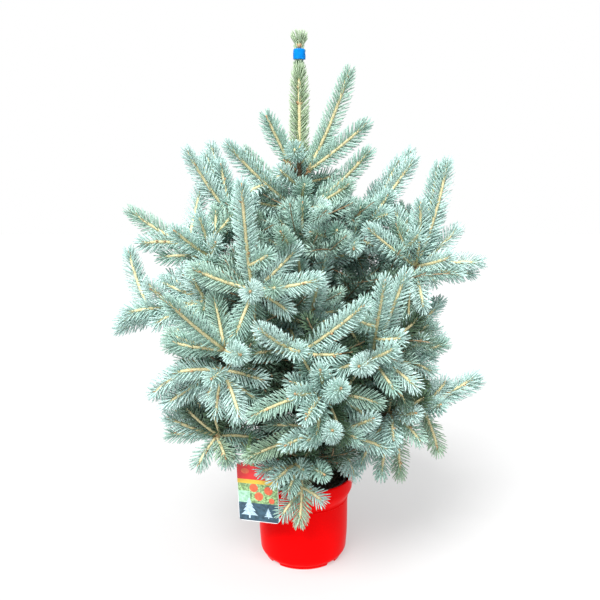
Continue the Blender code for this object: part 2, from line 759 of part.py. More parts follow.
def pot_outline():
    """The underside with its drainage channel and the outer side up to the collar's rolled rim, then the
    inside, down the wall and across the floor."""
    collar_foot = POT_HEIGHT - COLLAR_HEIGHT
    fillet_middle = (POT_BASE_RADIUS - BASE_FILLET, FOOT_HEIGHT * 0.4 + BASE_FILLET)
    outer = [(0, 0), (PAD_RADIUS, 0), (PAD_RADIUS, FOOT_HEIGHT)]
    outer += [(POT_FOOT_RADIUS - FOOT_WIDTH, FOOT_HEIGHT)]
    outer += [(POT_FOOT_RADIUS - FOOT_WIDTH, 0), (POT_FOOT_RADIUS, 0)]
    outer += arc(fillet_middle, BASE_FILLET, -52, -6, 3)
    outer += [(POT_BODY_RADIUS, POT_STRAIGHT_FROM), (POT_BODY_RADIUS, collar_foot)]
    outer += [(blend(POT_BODY_RADIUS, POT_RIM_RADIUS, 0.55), collar_foot + COLLAR_SWELL * 0.36)]
    outer += [(POT_RIM_RADIUS, collar_foot + COLLAR_SWELL)]
    outer += arc((POT_RIM_RADIUS - RIM_BEAD, POT_HEIGHT - RIM_BEAD), RIM_BEAD, 0, 180, 2)
    inner_body = POT_BODY_RADIUS - POT_WALL
    inner_floor = FOOT_HEIGHT + POT_WALL
    inner = [(POT_RIM_RADIUS - 2 * RIM_BEAD, collar_foot + COLLAR_SWELL - POT_WALL)]
    inner += [(inner_body, collar_foot), (inner_body, POT_STRAIGHT_FROM)]
    inner += [(POT_BASE_RADIUS - 0.008, BASE_FILLET + POT_WALL), (POT_BASE_RADIUS - BASE_FILLET, inner_floor)]
    inner += [(PAD_RADIUS - POT_WALL, inner_floor), (PAD_RADIUS - POT_WALL, POT_WALL), (0, POT_WALL)]
    return outer + inner


def build_pot():
    pot = turned("outer_pot", pot_outline(), "red_plastic", POT_SEGMENTS)
    for k in range(FOOT_NOTCHES):
        cutter = notch_cutter(math.radians(45 + 360 * k / FOOT_NOTCHES))
        cut = pot.modifiers.new("notch", "BOOLEAN")
        cut.operation = "DIFFERENCE"
        cut.object = cutter
        cut.solver = "EXACT"
    apply_modifiers(pot)
    for obj in [o for o in bpy.data.objects if o.name.startswith("notch_cutter")]:
        bpy.data.objects.remove(obj, do_unlink=True)
    largest_island(pot)
    pot.data.shade_smooth()
    pot.data.set_sharp_from_angle(angle=math.radians(35))
    return pot


def notch_cutter(angle):
    """An arched prism that cuts a drainage notch through the foot ring."""
    half, height = NOTCH_WIDTH / 2, FOOT_HEIGHT * 0.82
    right = [(half, -height), (half * 0.8, height * 0.6), (half * 0.4, height)]
    outline = right + [(-across, up) for across, up in reversed(right)]
    near, far = POT_FOOT_RADIUS - 1.5 * FOOT_WIDTH, POT_RIM_RADIUS
    out = Vector((math.cos(angle), math.sin(angle), 0))
    across = UP.cross(out)
    verts = [out * r + across * a + UP * h for r in (near, far) for a, h in outline]
    n = len(outline)
    faces = [(k, (k + 1) % n, n + (k + 1) % n, n + k) for k in range(n)]
    faces += [tuple(reversed(range(n))), tuple(range(n, 2 * n))]
    cutter = add_object("notch_cutter", verts, [tuple(reversed(f)) for f in faces], "red_plastic")
    cutter.hide_render = True
    cutter.display_type = "WIRE"
    shape = bmesh.new()
    shape.from_mesh(cutter.data)
    bmesh.ops.recalc_face_normals(shape, faces=shape.faces)
    shape.to_mesh(cutter.data)
    shape.free()
    return cutter


def liner_outline():
    """The grower's pot that stands inside: floor, wall, and a narrow lip under the outer rim."""
    floor = FOOT_HEIGHT + POT_WALL + GAP
    outer = POT_BODY_RADIUS - POT_WALL - LINER_CLEARANCE
    base = POT_BASE_RADIUS - BASE_FILLET - 0.002
    return floor, outer, base


def build_liner():
    floor, outer, base = liner_outline()
    waist, under_lip = outer - LINER_TAPER, LINER_HEIGHT - LIP_HEIGHT
    profile = [(0, floor), (base, floor), (waist, LINER_MIDDLE), (outer, under_lip)]
    profile += [(outer + LIP_WIDTH, under_lip), (outer + LIP_WIDTH, LINER_HEIGHT)]
    profile += [(outer - LINER_WALL, LINER_HEIGHT), (waist - LINER_WALL, LINER_MIDDLE)]
    profile += [(base - LINER_WALL, floor + LINER_WALL), (0, floor + LINER_WALL)]
    return turned("inner_pot", profile, "black_plastic", LINER_SEGMENTS)


def build_peat():
    floor, outer, base = liner_outline()
    bottom = floor + LINER_WALL + GAP
    side = LINER_WALL + PEAT_CLEARANCE
    waist, under_lip = outer - LINER_TAPER, LINER_HEIGHT - LIP_HEIGHT
    top_radius = blend(waist, outer, (PEAT_TOP - LINER_MIDDLE) / (under_lip - LINER_MIDDLE)) - side
    profile = [(0, bottom), (base - side, bottom), (waist - side, LINER_MIDDLE)]
    profile += [(top_radius, PEAT_TOP), (0, PEAT_TOP)]
    return turned("potting_peat", profile, "peat", PEAT_SEGMENTS)


def strap_outline():
    """The strap seen from its edge, as (depth, height): up behind the shoot, over it and down in front."""
    half, root = STRAP_THICKNESS / 2, CARD_SIZE[2] / 2 - STRAP_ROOT
    middle = (-LOOP_RADIUS, CARD_SIZE[2] / 2 + LOOP_HEIGHT)
    over = arc(middle, LOOP_RADIUS + half, 0, 180, LOOP_SEGMENTS)
    under = arc(middle, LOOP_RADIUS - half, 180, 0, LOOP_SEGMENTS)
    tail = middle[1] - LOOP_TAIL
    return [(half, root), *over, (over[-1][0], tail), (under[0][0], tail), *under, (-half, root)]


def slab(outline, half, to_point):
    """Points and faces of a flat outline given thickness: to_point places one of its corners at a side."""
    n = len(outline)
    verts = [to_point(corner, side) for side in (-half, half) for corner in outline]
    faces = [tuple(range(n)), tuple(range(2 * n - 1, n - 1, -1))]
    faces += [(k, n + k, n + (k + 1) % n, (k + 1) % n) for k in range(n)]
    return verts, faces


def build_label():
    """A card with round corners, and the strap that loops over a low shoot to carry it."""
    width, depth, height = (side / 2 for side in CARD_SIZE)
    r, place = CARD_CORNER, card_matrix()
    corners = ((1, -1, -90), (1, 1, 0), (-1, 1, 90), (-1, -1, 180))
    outline = []
    for across, up, start in corners:
        outline += arc((across * (width - r), up * (height - r)), r, start, start + 90, 3)
    card = slab(outline, depth, lambda at, side: place @ Vector((at[0], side, at[1])))
    strap = slab(strap_outline(), STRAP_WIDTH / 2, lambda at, side: place @ Vector((-side, at[0], at[1])))
    return fuse("plant_label", [card, strap], "printed_card")


def main():
    clear_scene()
    build_trunk()
    limbs = {name: Limb(name, row[0], row[1]) for name, row in MASSES.items()}
    shoots = {name: listed_shoots(name, limb) for name, limb in limbs.items()}
    space = Space(limbs)
    leader = leader_shoot()
    grown = [shoot for found in shoots.values() for shoot in found]
    space.add_shoots(grown + [leader])
    for twig in side_twigs(grown, space):
        shoots[twig.owner].append(twig)
    for name, limb in limbs.items():
        if limb.is_bough:
            limb.build_bough()
        build_mass(name, limb, shoots[name], space)
    build_leader(leader, space)
    build_band()
    build_pot()
    build_liner()
    build_peat()
    build_label()


main()
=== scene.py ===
import json
import math
import random

import bmesh
import bpy
import numpy as np
from mathutils import Matrix, Vector


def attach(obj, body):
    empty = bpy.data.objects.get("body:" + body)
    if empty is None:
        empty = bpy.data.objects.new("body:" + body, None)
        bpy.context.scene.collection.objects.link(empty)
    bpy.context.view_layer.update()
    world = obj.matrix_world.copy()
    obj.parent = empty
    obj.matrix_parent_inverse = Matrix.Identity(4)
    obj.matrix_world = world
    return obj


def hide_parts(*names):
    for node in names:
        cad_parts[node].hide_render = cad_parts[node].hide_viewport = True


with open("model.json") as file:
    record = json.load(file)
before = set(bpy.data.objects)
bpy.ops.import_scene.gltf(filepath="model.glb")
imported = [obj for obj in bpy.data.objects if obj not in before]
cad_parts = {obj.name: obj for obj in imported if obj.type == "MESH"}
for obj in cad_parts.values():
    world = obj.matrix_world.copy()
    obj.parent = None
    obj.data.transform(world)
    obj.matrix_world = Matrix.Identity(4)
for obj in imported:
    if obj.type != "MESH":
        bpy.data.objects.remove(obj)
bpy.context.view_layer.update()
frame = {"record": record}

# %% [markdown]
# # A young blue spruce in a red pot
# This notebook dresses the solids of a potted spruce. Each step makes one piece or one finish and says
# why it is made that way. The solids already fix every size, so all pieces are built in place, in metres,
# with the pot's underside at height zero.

MM = 0.001
UP = Vector((0, 0, 1))
record_nodes = [row["node"] for row in frame["record"]["subparts"]]

# %% [markdown]
# ## Room, light and camera
# The plant stands on a plain pale floor under soft light. A white world lights it from all round, a soft
# sun above the camera's left shoulder picks out the needles, and a second one overhead fills the floor
# round the pot. The floor also glows, though it is no lamp: that glow is painted light, which keeps the
# shadow pale with no extra lamps. The world is dimmer for the plant than for the eye: a Light Path node
# tells a camera ray from the rest. The standard view keeps white white and the pot's red strong.

# %% Floor
FLOOR_SIDE = 14
FLOOR_DROP = 0.0005  # it lies this far under the pot, so that the two never share a face
FLOOR_PAINT = 0.315
# The floor's glow is painted light: it lifts the shadow round the pot.
FLOOR_PAINTED_LIGHT = 0.45
FLOOR_ROUGHNESS = 0.8
bpy.ops.object.select_all(action="DESELECT")
bpy.ops.mesh.primitive_plane_add(size=FLOOR_SIDE, location=(0, 0, -FLOOR_DROP))
floor = bpy.context.object
floor.name = "floor"
paint = bpy.data.materials.new("pale_floor")
paint.use_nodes = True
paint_shader = paint.node_tree.nodes["Principled BSDF"]
paint_shader.inputs["Base Color"].default_value = (FLOOR_PAINT, FLOOR_PAINT, FLOOR_PAINT, 1)
paint_shader.inputs["Emission Color"].default_value = (1, 1, 1, 1)
paint_shader.inputs["Emission Strength"].default_value = FLOOR_PAINTED_LIGHT
paint_shader.inputs["Roughness"].default_value = FLOOR_ROUGHNESS
floor.data.materials.append(paint)
print("floor:", FLOOR_SIDE, "m square")

# %% Light
WORLD_LIGHT = 0.48  # on the plant; what is seen behind it stays full white
world = bpy.data.worlds.new("white_room")
world.use_nodes = True
room_light = world.node_tree.nodes["Background"]
room_light.inputs["Color"].default_value = (1, 1, 1, 1)
seen = world.node_tree.nodes.new("ShaderNodeLightPath")
strength = world.node_tree.nodes.new("ShaderNodeMapRange")
strength.inputs["To Min"].default_value = WORLD_LIGHT
strength.inputs["To Max"].default_value = 1.0
world.node_tree.links.new(seen.outputs["Is Camera Ray"], strength.inputs["Value"])
world.node_tree.links.new(strength.outputs["Result"], room_light.inputs["Strength"])
bpy.context.scene.world = world
bpy.context.scene.view_settings.view_transform = "Standard"


def soft_sun(name, toward, strength, spread):
    """A distant lamp: it lights floor and plant evenly, and its spread in degrees softens the shadow."""
    lamp = bpy.data.lights.new(name, "SUN")
    lamp.energy = strength
    lamp.angle = math.radians(spread)
    holder = bpy.data.objects.new(name, lamp)
    bpy.context.scene.collection.objects.link(holder)
    holder.rotation_euler = Vector(toward).to_track_quat("-Z", "Y").to_euler()
    return holder


suns = [
    soft_sun("key", toward=(0.33, 0.76, -1.0), strength=4.55, spread=27),
    soft_sun("overhead", toward=(-0.2, 0.4, -1.0), strength=1.2, spread=60),
]
print(len(suns), "soft suns")

# %% Camera
CAMERA_PLACE = (-0.0075, -1.5, 0.85)
CAMERA_PITCH = -10.75  # degrees
LENS = 43.9
SENSOR_WIDTH = 36
camera_data = bpy.data.cameras.new("camera")
camera_data.sensor_width = SENSOR_WIDTH
camera_data.lens = LENS
camera = bpy.data.objects.new("camera", camera_data)
camera.location = CAMERA_PLACE
camera.rotation_euler = (math.radians(90 + CAMERA_PITCH), 0, 0)
bpy.context.scene.collection.objects.link(camera)
bpy.context.scene.camera = camera
print("camera at", CAMERA_PLACE, "pitched", CAMERA_PITCH, "degrees")

# %% [markdown]
# ## Finishes
# Nothing on the plant is one flat colour: wax on needles comes and goes, bark and peat are mottled, and
# moulded plastic has a faint orange-peel skin. All of them need the same thing, a fine noise that lightens
# and darkens a colour and also gives a height for a bump. It is built once as a node group, "mottle", and
# each material places it with its own grain size and strength.

# %% The mottle group
MOTTLE_DETAIL = 3
MOTTLE_SPREAD = (0.32, 0.68)  # the stretch of the noise that goes from dark to light


def mottle_group():
    tree = bpy.data.node_groups.new("mottle", "ShaderNodeTree")
    for name, kind in (
        ("Colour", "Color"), ("Grains per metre", "Float"), ("Dark", "Float"), ("Light", "Float"),
    ):
        tree.interface.new_socket(name=name, in_out="INPUT", socket_type="NodeSocket" + kind)
    tree.interface.new_socket(name="Colour", in_out="OUTPUT", socket_type="NodeSocketColor")
    tree.interface.new_socket(name="Height", in_out="OUTPUT", socket_type="NodeSocketFloat")
    add, link = tree.nodes.new, tree.links.new
    inputs, outputs = add("NodeGroupInput"), add("NodeGroupOutput")
    place, noise = add("ShaderNodeTexCoord"), add("ShaderNodeTexNoise")
    spread, value = add("ShaderNodeMapRange"), add("ShaderNodeHueSaturation")
    noise.inputs["Detail"].default_value = MOTTLE_DETAIL
    spread.inputs["From Min"].default_value, spread.inputs["From Max"].default_value = MOTTLE_SPREAD
    link(place.outputs["Object"], noise.inputs["Vector"])
    link(inputs.outputs["Grains per metre"], noise.inputs["Scale"])
    link(noise.outputs["Fac"], spread.inputs["Value"])
    link(inputs.outputs["Dark"], spread.inputs["To Min"])
    link(inputs.outputs["Light"], spread.inputs["To Max"])
    link(spread.outputs["Result"], value.inputs["Value"])
    link(inputs.outputs["Colour"], value.inputs["Color"])
    link(value.outputs["Color"], outputs.inputs["Colour"])
    link(noise.outputs["Fac"], outputs.inputs["Height"])
    return tree


mottle = mottle_group()
print("mottle:", len(mottle.nodes), "nodes")


def finish(name, colour, roughness, grains, dark, light, bump=0.0, **sockets):
    """A Principled material whose colour is mottled. grains is how many there are to a metre, dark and
    light are the shares that the mottle takes the colour down and up to, and bump is the relief in metres."""
    material = bpy.data.materials.new(name)
    material.use_nodes = True
    tree = material.node_tree
    shader = tree.nodes["Principled BSDF"]
    shader.inputs["Roughness"].default_value = roughness
    for socket, number in sockets.items():
        shader.inputs[socket.replace("_", " ")].default_value = number
    grain = tree.nodes.new("ShaderNodeGroup")
    grain.node_tree = mottle
    grain.inputs["Colour"].default_value = (*colour, 1)
    grain.inputs["Grains per metre"].default_value = grains
    grain.inputs["Dark"].default_value = dark
    grain.inputs["Light"].default_value = light
    tree.links.new(grain.outputs["Colour"], shader.inputs["Base Color"])
    if bump:
        relief = tree.nodes.new("ShaderNodeBump")
        relief.inputs["Distance"].default_value = bump
        tree.links.new(grain.outputs["Height"], relief.inputs["Height"])
        tree.links.new(relief.outputs["Normal"], shader.inputs["Normal"])
    return material


# %% [markdown]
# ### Needles, twigs and buds
# A blue spruce is blue because of a pale wax on green needles. Young shoots have most of it, shaded and
# older ones less, and a few sprays are nearly green. The two darkest greens are partly the colour of older
# needles and partly painted shade, for the inside and the lower crown. One material each, dealt out spray by
# spray, gives that play of colours with no picture at all.

# %% Needle finishes
NEEDLE_COLOURS = {
    "silver": (0.61, 0.82, 0.775),
    "blue": (0.53, 0.75, 0.695),
    "steel": (0.41, 0.62, 0.54),
    "sea_green": (0.46, 0.67, 0.57),
    "pale_green": (0.40, 0.57, 0.42),
    # deep_green and inner are the darker green of old needles and also painted shade of the crown's inside.
    "deep_green": (0.09, 0.16, 0.09),
    "inner": (0.12, 0.20, 0.14),
    "leader": (0.50, 0.64, 0.44),
}
needle_finish = {
    name: finish(
        "needles_" + name, colour, roughness=0.5, grains=260, dark=0.62, light=1.3, Specular_IOR_Level=0.42,
    )
    for name, colour in NEEDLE_COLOURS.items()
}
cream_twig = finish(
    "cream_twig", (0.76, 0.67, 0.38), roughness=0.6, grains=300, dark=0.66, light=1.12, bump=0.0012,
)
brown_twig = finish(
    "brown_twig", (0.33, 0.23, 0.13), roughness=0.75, grains=420, dark=0.6, light=1.25, bump=0.0006,
)
bud_scale = finish(
    "bud_scale", (0.52, 0.32, 0.17), roughness=0.5, grains=600, dark=0.7, light=1.3, bump=0.0004,
)
bark = finish("bark", (0.20, 0.13, 0.08), roughness=0.85, grains=190, dark=0.45, light=1.4, bump=0.0015)
print(len(needle_finish), "needle finishes")

# %% [markdown]
# ### Pot, liner, peat and tape
# The outer pot is moulded plastic of a strong plain red: a low roughness with hardly any shine, and a bump
# so fine that it only softens reflections. The liner is the same stuff in matt black, the tape is a blue
# plastic film, and peat is a dark crumb with no shine.

# %% Pot and tape finishes
red_plastic = finish(
    "red_plastic", (0.95, 0.0012, 0.002), roughness=0.28, grains=300, dark=0.97, light=1.03, bump=0.00006,
    Specular_IOR_Level=0.02, Coat_Weight=0.02, Coat_Roughness=0.06,
)
black_plastic = finish(
    "black_plastic", (0.012, 0.012, 0.013), roughness=0.42, grains=400, dark=0.7, light=1.5, bump=0.0001,
)
peat_crumb = finish(
    "peat", (0.045, 0.027, 0.016), roughness=0.95, grains=260, dark=0.4, light=1.9, bump=0.002,
)
blue_tape = finish(
    "blue_tape", (0.001, 0.22, 0.70), roughness=0.45, grains=130, dark=0.85, light=1.12, bump=0.0002,
    Specular_IOR_Level=0.08,
)
print("finishes:", [material.name for material in (red_plastic, black_plastic, peat_crumb, blue_tape)])

# %% [markdown]
# ## How the tree branches
# The solids follow one rule, and the same rule is written again here: a limb leaves the trunk and ends in
# a hub, and from the hub shoots leave in listed directions. Each shoot arches a little by a seeded chance.
# Repeating the rule, rather than reading the solids back, gives every shoot a path that finer things
# (needles, buds, side twigs) can be set on.

# %% Sizes of the plant
PEAT_TOP = 0.164
SEAT_GAP = 0.0003  # between solids that stand on one another
TRUNK_FOOT = PEAT_TOP + SEAT_GAP
TRUNK_TOP = 0.856
TRUNK_FOOT_RADIUS = 0.0145
TRUNK_TOP_RADIUS = 0.0048
TRUNK_LEAN = -0.009  # how far its top stands to the left of its foot
TRUNK_BOW = 0.004
TRUNK_SWAY = 0.003
TRUNK_TAPER = 0.85
ROOT_FLARE = 0.007
ROOT_FLARE_HEIGHT = 0.022
BOUGH_BASE_RADIUS = 0.0055
BOUGH_TIP_RADIUS = 0.0028
BOUGH_RISE = 0.15  # of its reach, more for each metre that its hub stands above the lowest
BOUGH_RISE_GAIN = 0.9
LOWEST_HUB = 0.30
LONGEST_BOUGH = 0.4
STUB = 0.008  # how far a bough runs on past its hub
KNOB = 0.006  # the radius of the swelling round that end, where its shoots start
BEND_AT = 0.55  # of the way out: there a bough has risen by BEND_RISE of its rise, and turns up
BEND_RISE = 0.25
SUNK = 0.0024
NEEDLE = 0.028
TWIG_RADIUS = 0.0036
TWIG_TIP_RADIUS = 0.0026
LEADER_LENGTH = 0.245
print("the trunk is", round(TRUNK_TOP - TRUNK_FOOT, 3), "m tall, the leader", LEADER_LENGTH, "m")

# %% The masses
# Each mass of shoots: whether a bough carries it or it grows straight from the trunk, its hub in
# millimetres (x to the right, y to the back, z up), then its shoots as (turn, rise, length in mm[, at]):
# turn is the compass direction in degrees from +X towards +Y, rise the slope above level, and at how far
# along the mass's first shoot it leaves it.
MASSES = {
    "top_left": ("trunk", (-28, -16, 846), ((206, 61, 112),)),
    "top_right": ("trunk", (8, -24, 830), ((348, 67, 215), (334, 36, 160))),
    "upper_right": ("trunk", (8, -22, 756), ((335, 41, 179), (307, 22, 145))),
    "upper_left": ("trunk", (-24, -22, 762), ((212, 40, 192), (232, -14, 82, 0.35))),
    "upper_front": ("trunk", (-11, -34, 650), ((259, 25, 190), (203, 10, 122), (335, 12, 132))),
    "top_back_left": ("trunk", (-22, 17, 840), ((124, 45, 133),)),
    "top_back_right": ("trunk", (2, 20, 816), ((62, 42, 165), (95, 12, 120))),
    "upper_back": (
        "trunk", (-8, 30, 745), (
            (85, 30, 190), (146, 17, 177), (46, 14, 160), (112, -8, 150), (60, -12, 150),
        ),
    ),
    "left_high": (
        "bough", (-137, -20, 729), (
            (197, 56, 178), (138, 65, 178), (163, 75, 128), (165, 59, 148),
        ),
    ),
    "left_upper": (
        "bough", (-180, -80, 664), (
            (173, 29, 194), (205, 4, 93, 0.3), (221, 35, 111), (74, 72, 108), (74, 57, 143, 0.25),
            (283, 28, 92), (187, 2, 107),
        ),
    ),
    "front_upper": (
        "bough", (-94, -200, 622), (
            (261, 70, 212), (343, 11, 140), (200, 22, 124), (272, 8, 110),
        ),
    ),
    "right_high": (
        "bough", (100, -40, 695), (
            (19, 55, 220), (266, -2, 130), (219, 11, 126), (150, 36, 105), (344, 53, 124), (21, 64, 127),
        ),
    ),
    "right_upper": (
        "bough", (224, -50, 642), (
            (0, 75, 223), (216, 33, 162), (0, 4, 140), (61, 58, 152), (18, 39, 126), (178, 77, 108),
            (346, -9, 98), (323, 19, 88), (218, 56, 116), (272, 78, 141), (348, -34, 59),
        ),
    ),
    "left_middle": (
        "bough", (-188, -120, 588), (
            (168, -20, 208), (197, -2, 91, 0.35), (138, 60, 146, 0.54), (214, 44, 84, 0.3), (155, 26, 103),
            (216, 60, 72), (185, -25, 119), (174, -15, 187),
        ),
    ),
    "left_front": (
        "bough", (-143, -220, 515), (
            (225, 41, 170), (135, 74, 110), (50, 53, 88), (170, 13, 118), (289, 10, 128), (177, 8, 108),
        ),
    ),
    "front_middle": (
        "bough", (-8, -200, 504), (
            (319, 37, 188), (230, 31, 136), (323, 8, 100), (206, 6, 108),
        ),
    ),
    "front_inner": (
        "trunk", (8, -80, 532), (
            (279, 43, 165), (227, 20, 144), (228, -8, 122), (245, 72, 176), (330, 74, 158),
        ),
    ),
    "right_front": (
        "bough", (129, -160, 488), (
            (325, 68, 186), (278, 62, 188), (256, 8, 166), (305, 6, 72), (322, -24, 116),
        ),
    ),
    "right_middle": (
        "bough", (183, -50, 458), (
            (313, -7, 110), (306, 57, 112), (23, 54, 130), (297, 30, 120), (28, 45, 153), (353, 15, 117),
            (19, 28, 120), (340, -36, 105), (352, 9, 71), (34, 66, 129),
        ),
    ),
    "left_low_front": (
        "bough", (-151, -200, 472), (
            (192, 0, 98), (297, -38, 112), (246, -72, 90), (140, -33, 134, 0.6), (121, -48, 160, 0.3),
            (335, -6, 96), (151, 5, 103), (164, -61, 74), (157, -33, 153),
        ),
    ),
    "left_low": (
        "bough", (-173, -120, 313), (
            (226, -44, 78), (180, 2, 103), (172, 47, 100), (134, 44, 152), (293, -24, 72), (334, 6, 105),
            (188, 24, 114), (157, 23, 113), (346, -15, 128), (320, -34, 72),
        ),
    ),
    "front_low": (
        "bough", (39, -200, 430), (
            (216, -5, 170), (241, 14, 128), (252, -6, 128), (280, 20, 148), (262, 38, 118),
            (205, 22, 86), (352, -10, 112),
        ),
    ),
    "front_lower": (
        "bough", (56, -160, 336), (
            (231, 7, 154), (205, -7, 186), (267, 22, 160), (314, 28, 125), (340, -10, 120),
            (28, 10, 110), (176, 5, 138),
        ),
    ),
    "front_hanging": (
        "trunk", (-1, -125, 268), (
            (262, -66, 134), (235, -8, 108), (246, -30, 92), (288, 8, 136), (203, -46, 70, 0.45),
            (336, -24, 56, 0.4),
        ),
    ),
    "right_low_front": (
        "bough", (174, -120, 361), (
            (297, 17, 94), (266, -18, 92), (312, -27, 90), (47, -77, 157), (226, -76, 136),
            (266, -44, 83), (184, -60, 136),
        ),
    ),
    "right_low": (
        "bough", (246, -50, 347), (
            (0, 50, 84), (12, 19, 131, 0.1), (281, 22, 118), (317, -63, 104), (56, -67, 92),
        ),
    ),
    "middle_back_right": ("bough", (125, 135, 520), ()),
    "middle_back": ("bough", (-15, 190, 545), ()),
    "middle_back_left": ("bough", (-150, 125, 515), ()),
    "low_back_right": ("bough", (125, 150, 355), ()),
    "low_back_left": ("bough", (-125, 155, 350), ()),
}

# A mass with no shoots of its own listed grows this fan about its hub's compass direction.
FAN = (
    (0, 20, 190), (-42, 30, 160), (44, 26, 160), (-80, 4, 120), (82, 10, 120), (-14, 60, 150), (16, -24, 130),
    (-36, -14, 120), (150, 55, 110),
)
FAN_JITTER = (7, 6, 12)  # degrees of turn, degrees of rise and millimetres of length, either way
print(sum(len(row[2]) or len(FAN) for row in MASSES.values()), "shoots listed for", len(MASSES), "masses")

# %% Trunk and limbs
def blend(a, b, t):
    return a + (b - a) * t


def direction(turn, rise):
    """The heading that has a compass turn and a rise, both in degrees."""
    turn, rise = math.radians(turn), math.radians(rise)
    return Vector((math.cos(turn) * math.cos(rise), math.sin(turn) * math.cos(rise), math.sin(rise)))


def trunk_centre(height):
    t = (height - TRUNK_FOOT) / (TRUNK_TOP - TRUNK_FOOT)
    x = TRUNK_LEAN * t + TRUNK_BOW * math.sin(math.pi * t)
    return Vector((x, TRUNK_SWAY * math.sin(2 * math.pi * t), height))


def trunk_radius(height):
    t = (height - TRUNK_FOOT) / (TRUNK_TOP - TRUNK_FOOT)
    flare = ROOT_FLARE * max(0.0, 1 - (height - TRUNK_FOOT) / ROOT_FLARE_HEIGHT) ** 2
    return TRUNK_FOOT_RADIUS + (TRUNK_TOP_RADIUS - TRUNK_FOOT_RADIUS) * t**TRUNK_TAPER + flare


class Limb:
    """The curve from the trunk to a mass's hub, and its radius along the way."""

    def __init__(self, carried_by, hub, rings=8):
        self.is_bough = carried_by == "bough"
        hub = Vector(hub) * MM
        reach = math.hypot(hub.x, hub.y)
        leave = hub.z - reach * (BOUGH_RISE + BOUGH_RISE_GAIN * max(0.0, hub.z - LOWEST_HUB))
        start = trunk_centre(leave)
        control = start.lerp(hub, BEND_AT)
        control.z = blend(start.z, hub.z, BEND_RISE)
        self.base_radius = BOUGH_BASE_RADIUS * min(1.0, 0.55 + reach / LONGEST_BOUGH)
        past = self.curve(start, control, hub, rings)
        self.hub = hub - (hub - past[-2]).normalized() * STUB
        self.points = self.curve(start, control, self.hub, rings)
        self.along = (self.points[-1] - self.points[-2]).normalized()

    def curve(self, start, control, end, count):
        steps = [i / count for i in range(count + 1)]
        return [start * (1 - t) ** 2 + control * (2 * t * (1 - t)) + end * t**2 for t in steps]

    def radius(self, t):
        return blend(self.base_radius, BOUGH_TIP_RADIUS, t)

    def at(self, t):
        place = min(t, 0.999) * (len(self.points) - 1)
        return self.points[int(place)].lerp(self.points[int(place) + 1], place - int(place))


limbs = {name: Limb(*row[:2]) for name, row in MASSES.items()}
print(sum(limb.is_bough for limb in limbs.values()), "boughs,", len(limbs), "masses")

# %% Shoots
ARCH_LEVEL = 0.04  # a level shoot arches by this share of its length, a rising one the other way
ARCH_RISING = -0.02
LEVEL_RISE = 8  # degrees
ARCH_JITTER = 0.01  # either way
SWAY_JITTER = 0.02
STEEP = 0.05  # a heading this close to upright has no side of its own


class Shoot:
    """A shoot's path from its base: straight along its heading, bowed a little."""

    def __init__(self, base, heading, length, rng, colour="blue"):
        self.base, self.heading, self.length, self.colour = base, heading, length, colour
        self.phase = rng.uniform(0, 2 * math.pi)
        sideways = heading.cross(UP)
        sideways = sideways.normalized() if sideways.length > STEEP else Vector((1, 0, 0))
        upright = sideways.cross(heading).normalized()
        steep = math.degrees(math.asin(max(-1, min(1, heading.z))))
        arch = ARCH_LEVEL if steep < LEVEL_RISE else ARCH_RISING
        self.bow = upright * (arch + rng.uniform(-ARCH_JITTER, ARCH_JITTER))
        self.bow += sideways * rng.uniform(-SWAY_JITTER, SWAY_JITTER)

    def at(self, t):
        return self.base + (self.heading * t + self.bow * 4 * t * (1 - t)) * self.length

    def heading_at(self, t):
        return (self.heading + self.bow * 4 * (1 - 2 * t)).normalized()


def listed_shoots(name, limb):
    """A mass's shoots as its rows say: turn, rise, length, and for a side twig its place on the first."""
    rng = random.Random(name)
    start = limb.hub + limb.along * STUB
    rows = MASSES[name][2]
    if not rows:
        outward = math.degrees(math.atan2(limb.hub.y, limb.hub.x))
        for turn, rise, length in FAN:
            turned_by, raised_by, longer_by = (rng.uniform(-most, most) for most in FAN_JITTER)
            rows += ((outward + turn + turned_by, rise + raised_by, length + longer_by),)
    shoots = []
    for row in rows:
        heading, length = direction(*row[:2]), row[2] * MM
        if len(row) > 3:
            base = shoots[0].at(row[3])
        else:
            base = start + heading * (KNOB - SUNK / 3)
            length -= (base - start).length
        shoots.append(Shoot(base, heading, length, rng))
    return shoots


leads = {name: listed_shoots(name, limb) for name, limb in limbs.items()}
print(sum(len(row) for row in leads.values()), "leading shoots")

# %% [markdown]
# The listed shoots are the solids' own. A real mass holds more of them, so some hubs get further long
# shoots, each drawn from its hub to the place where its tip is.

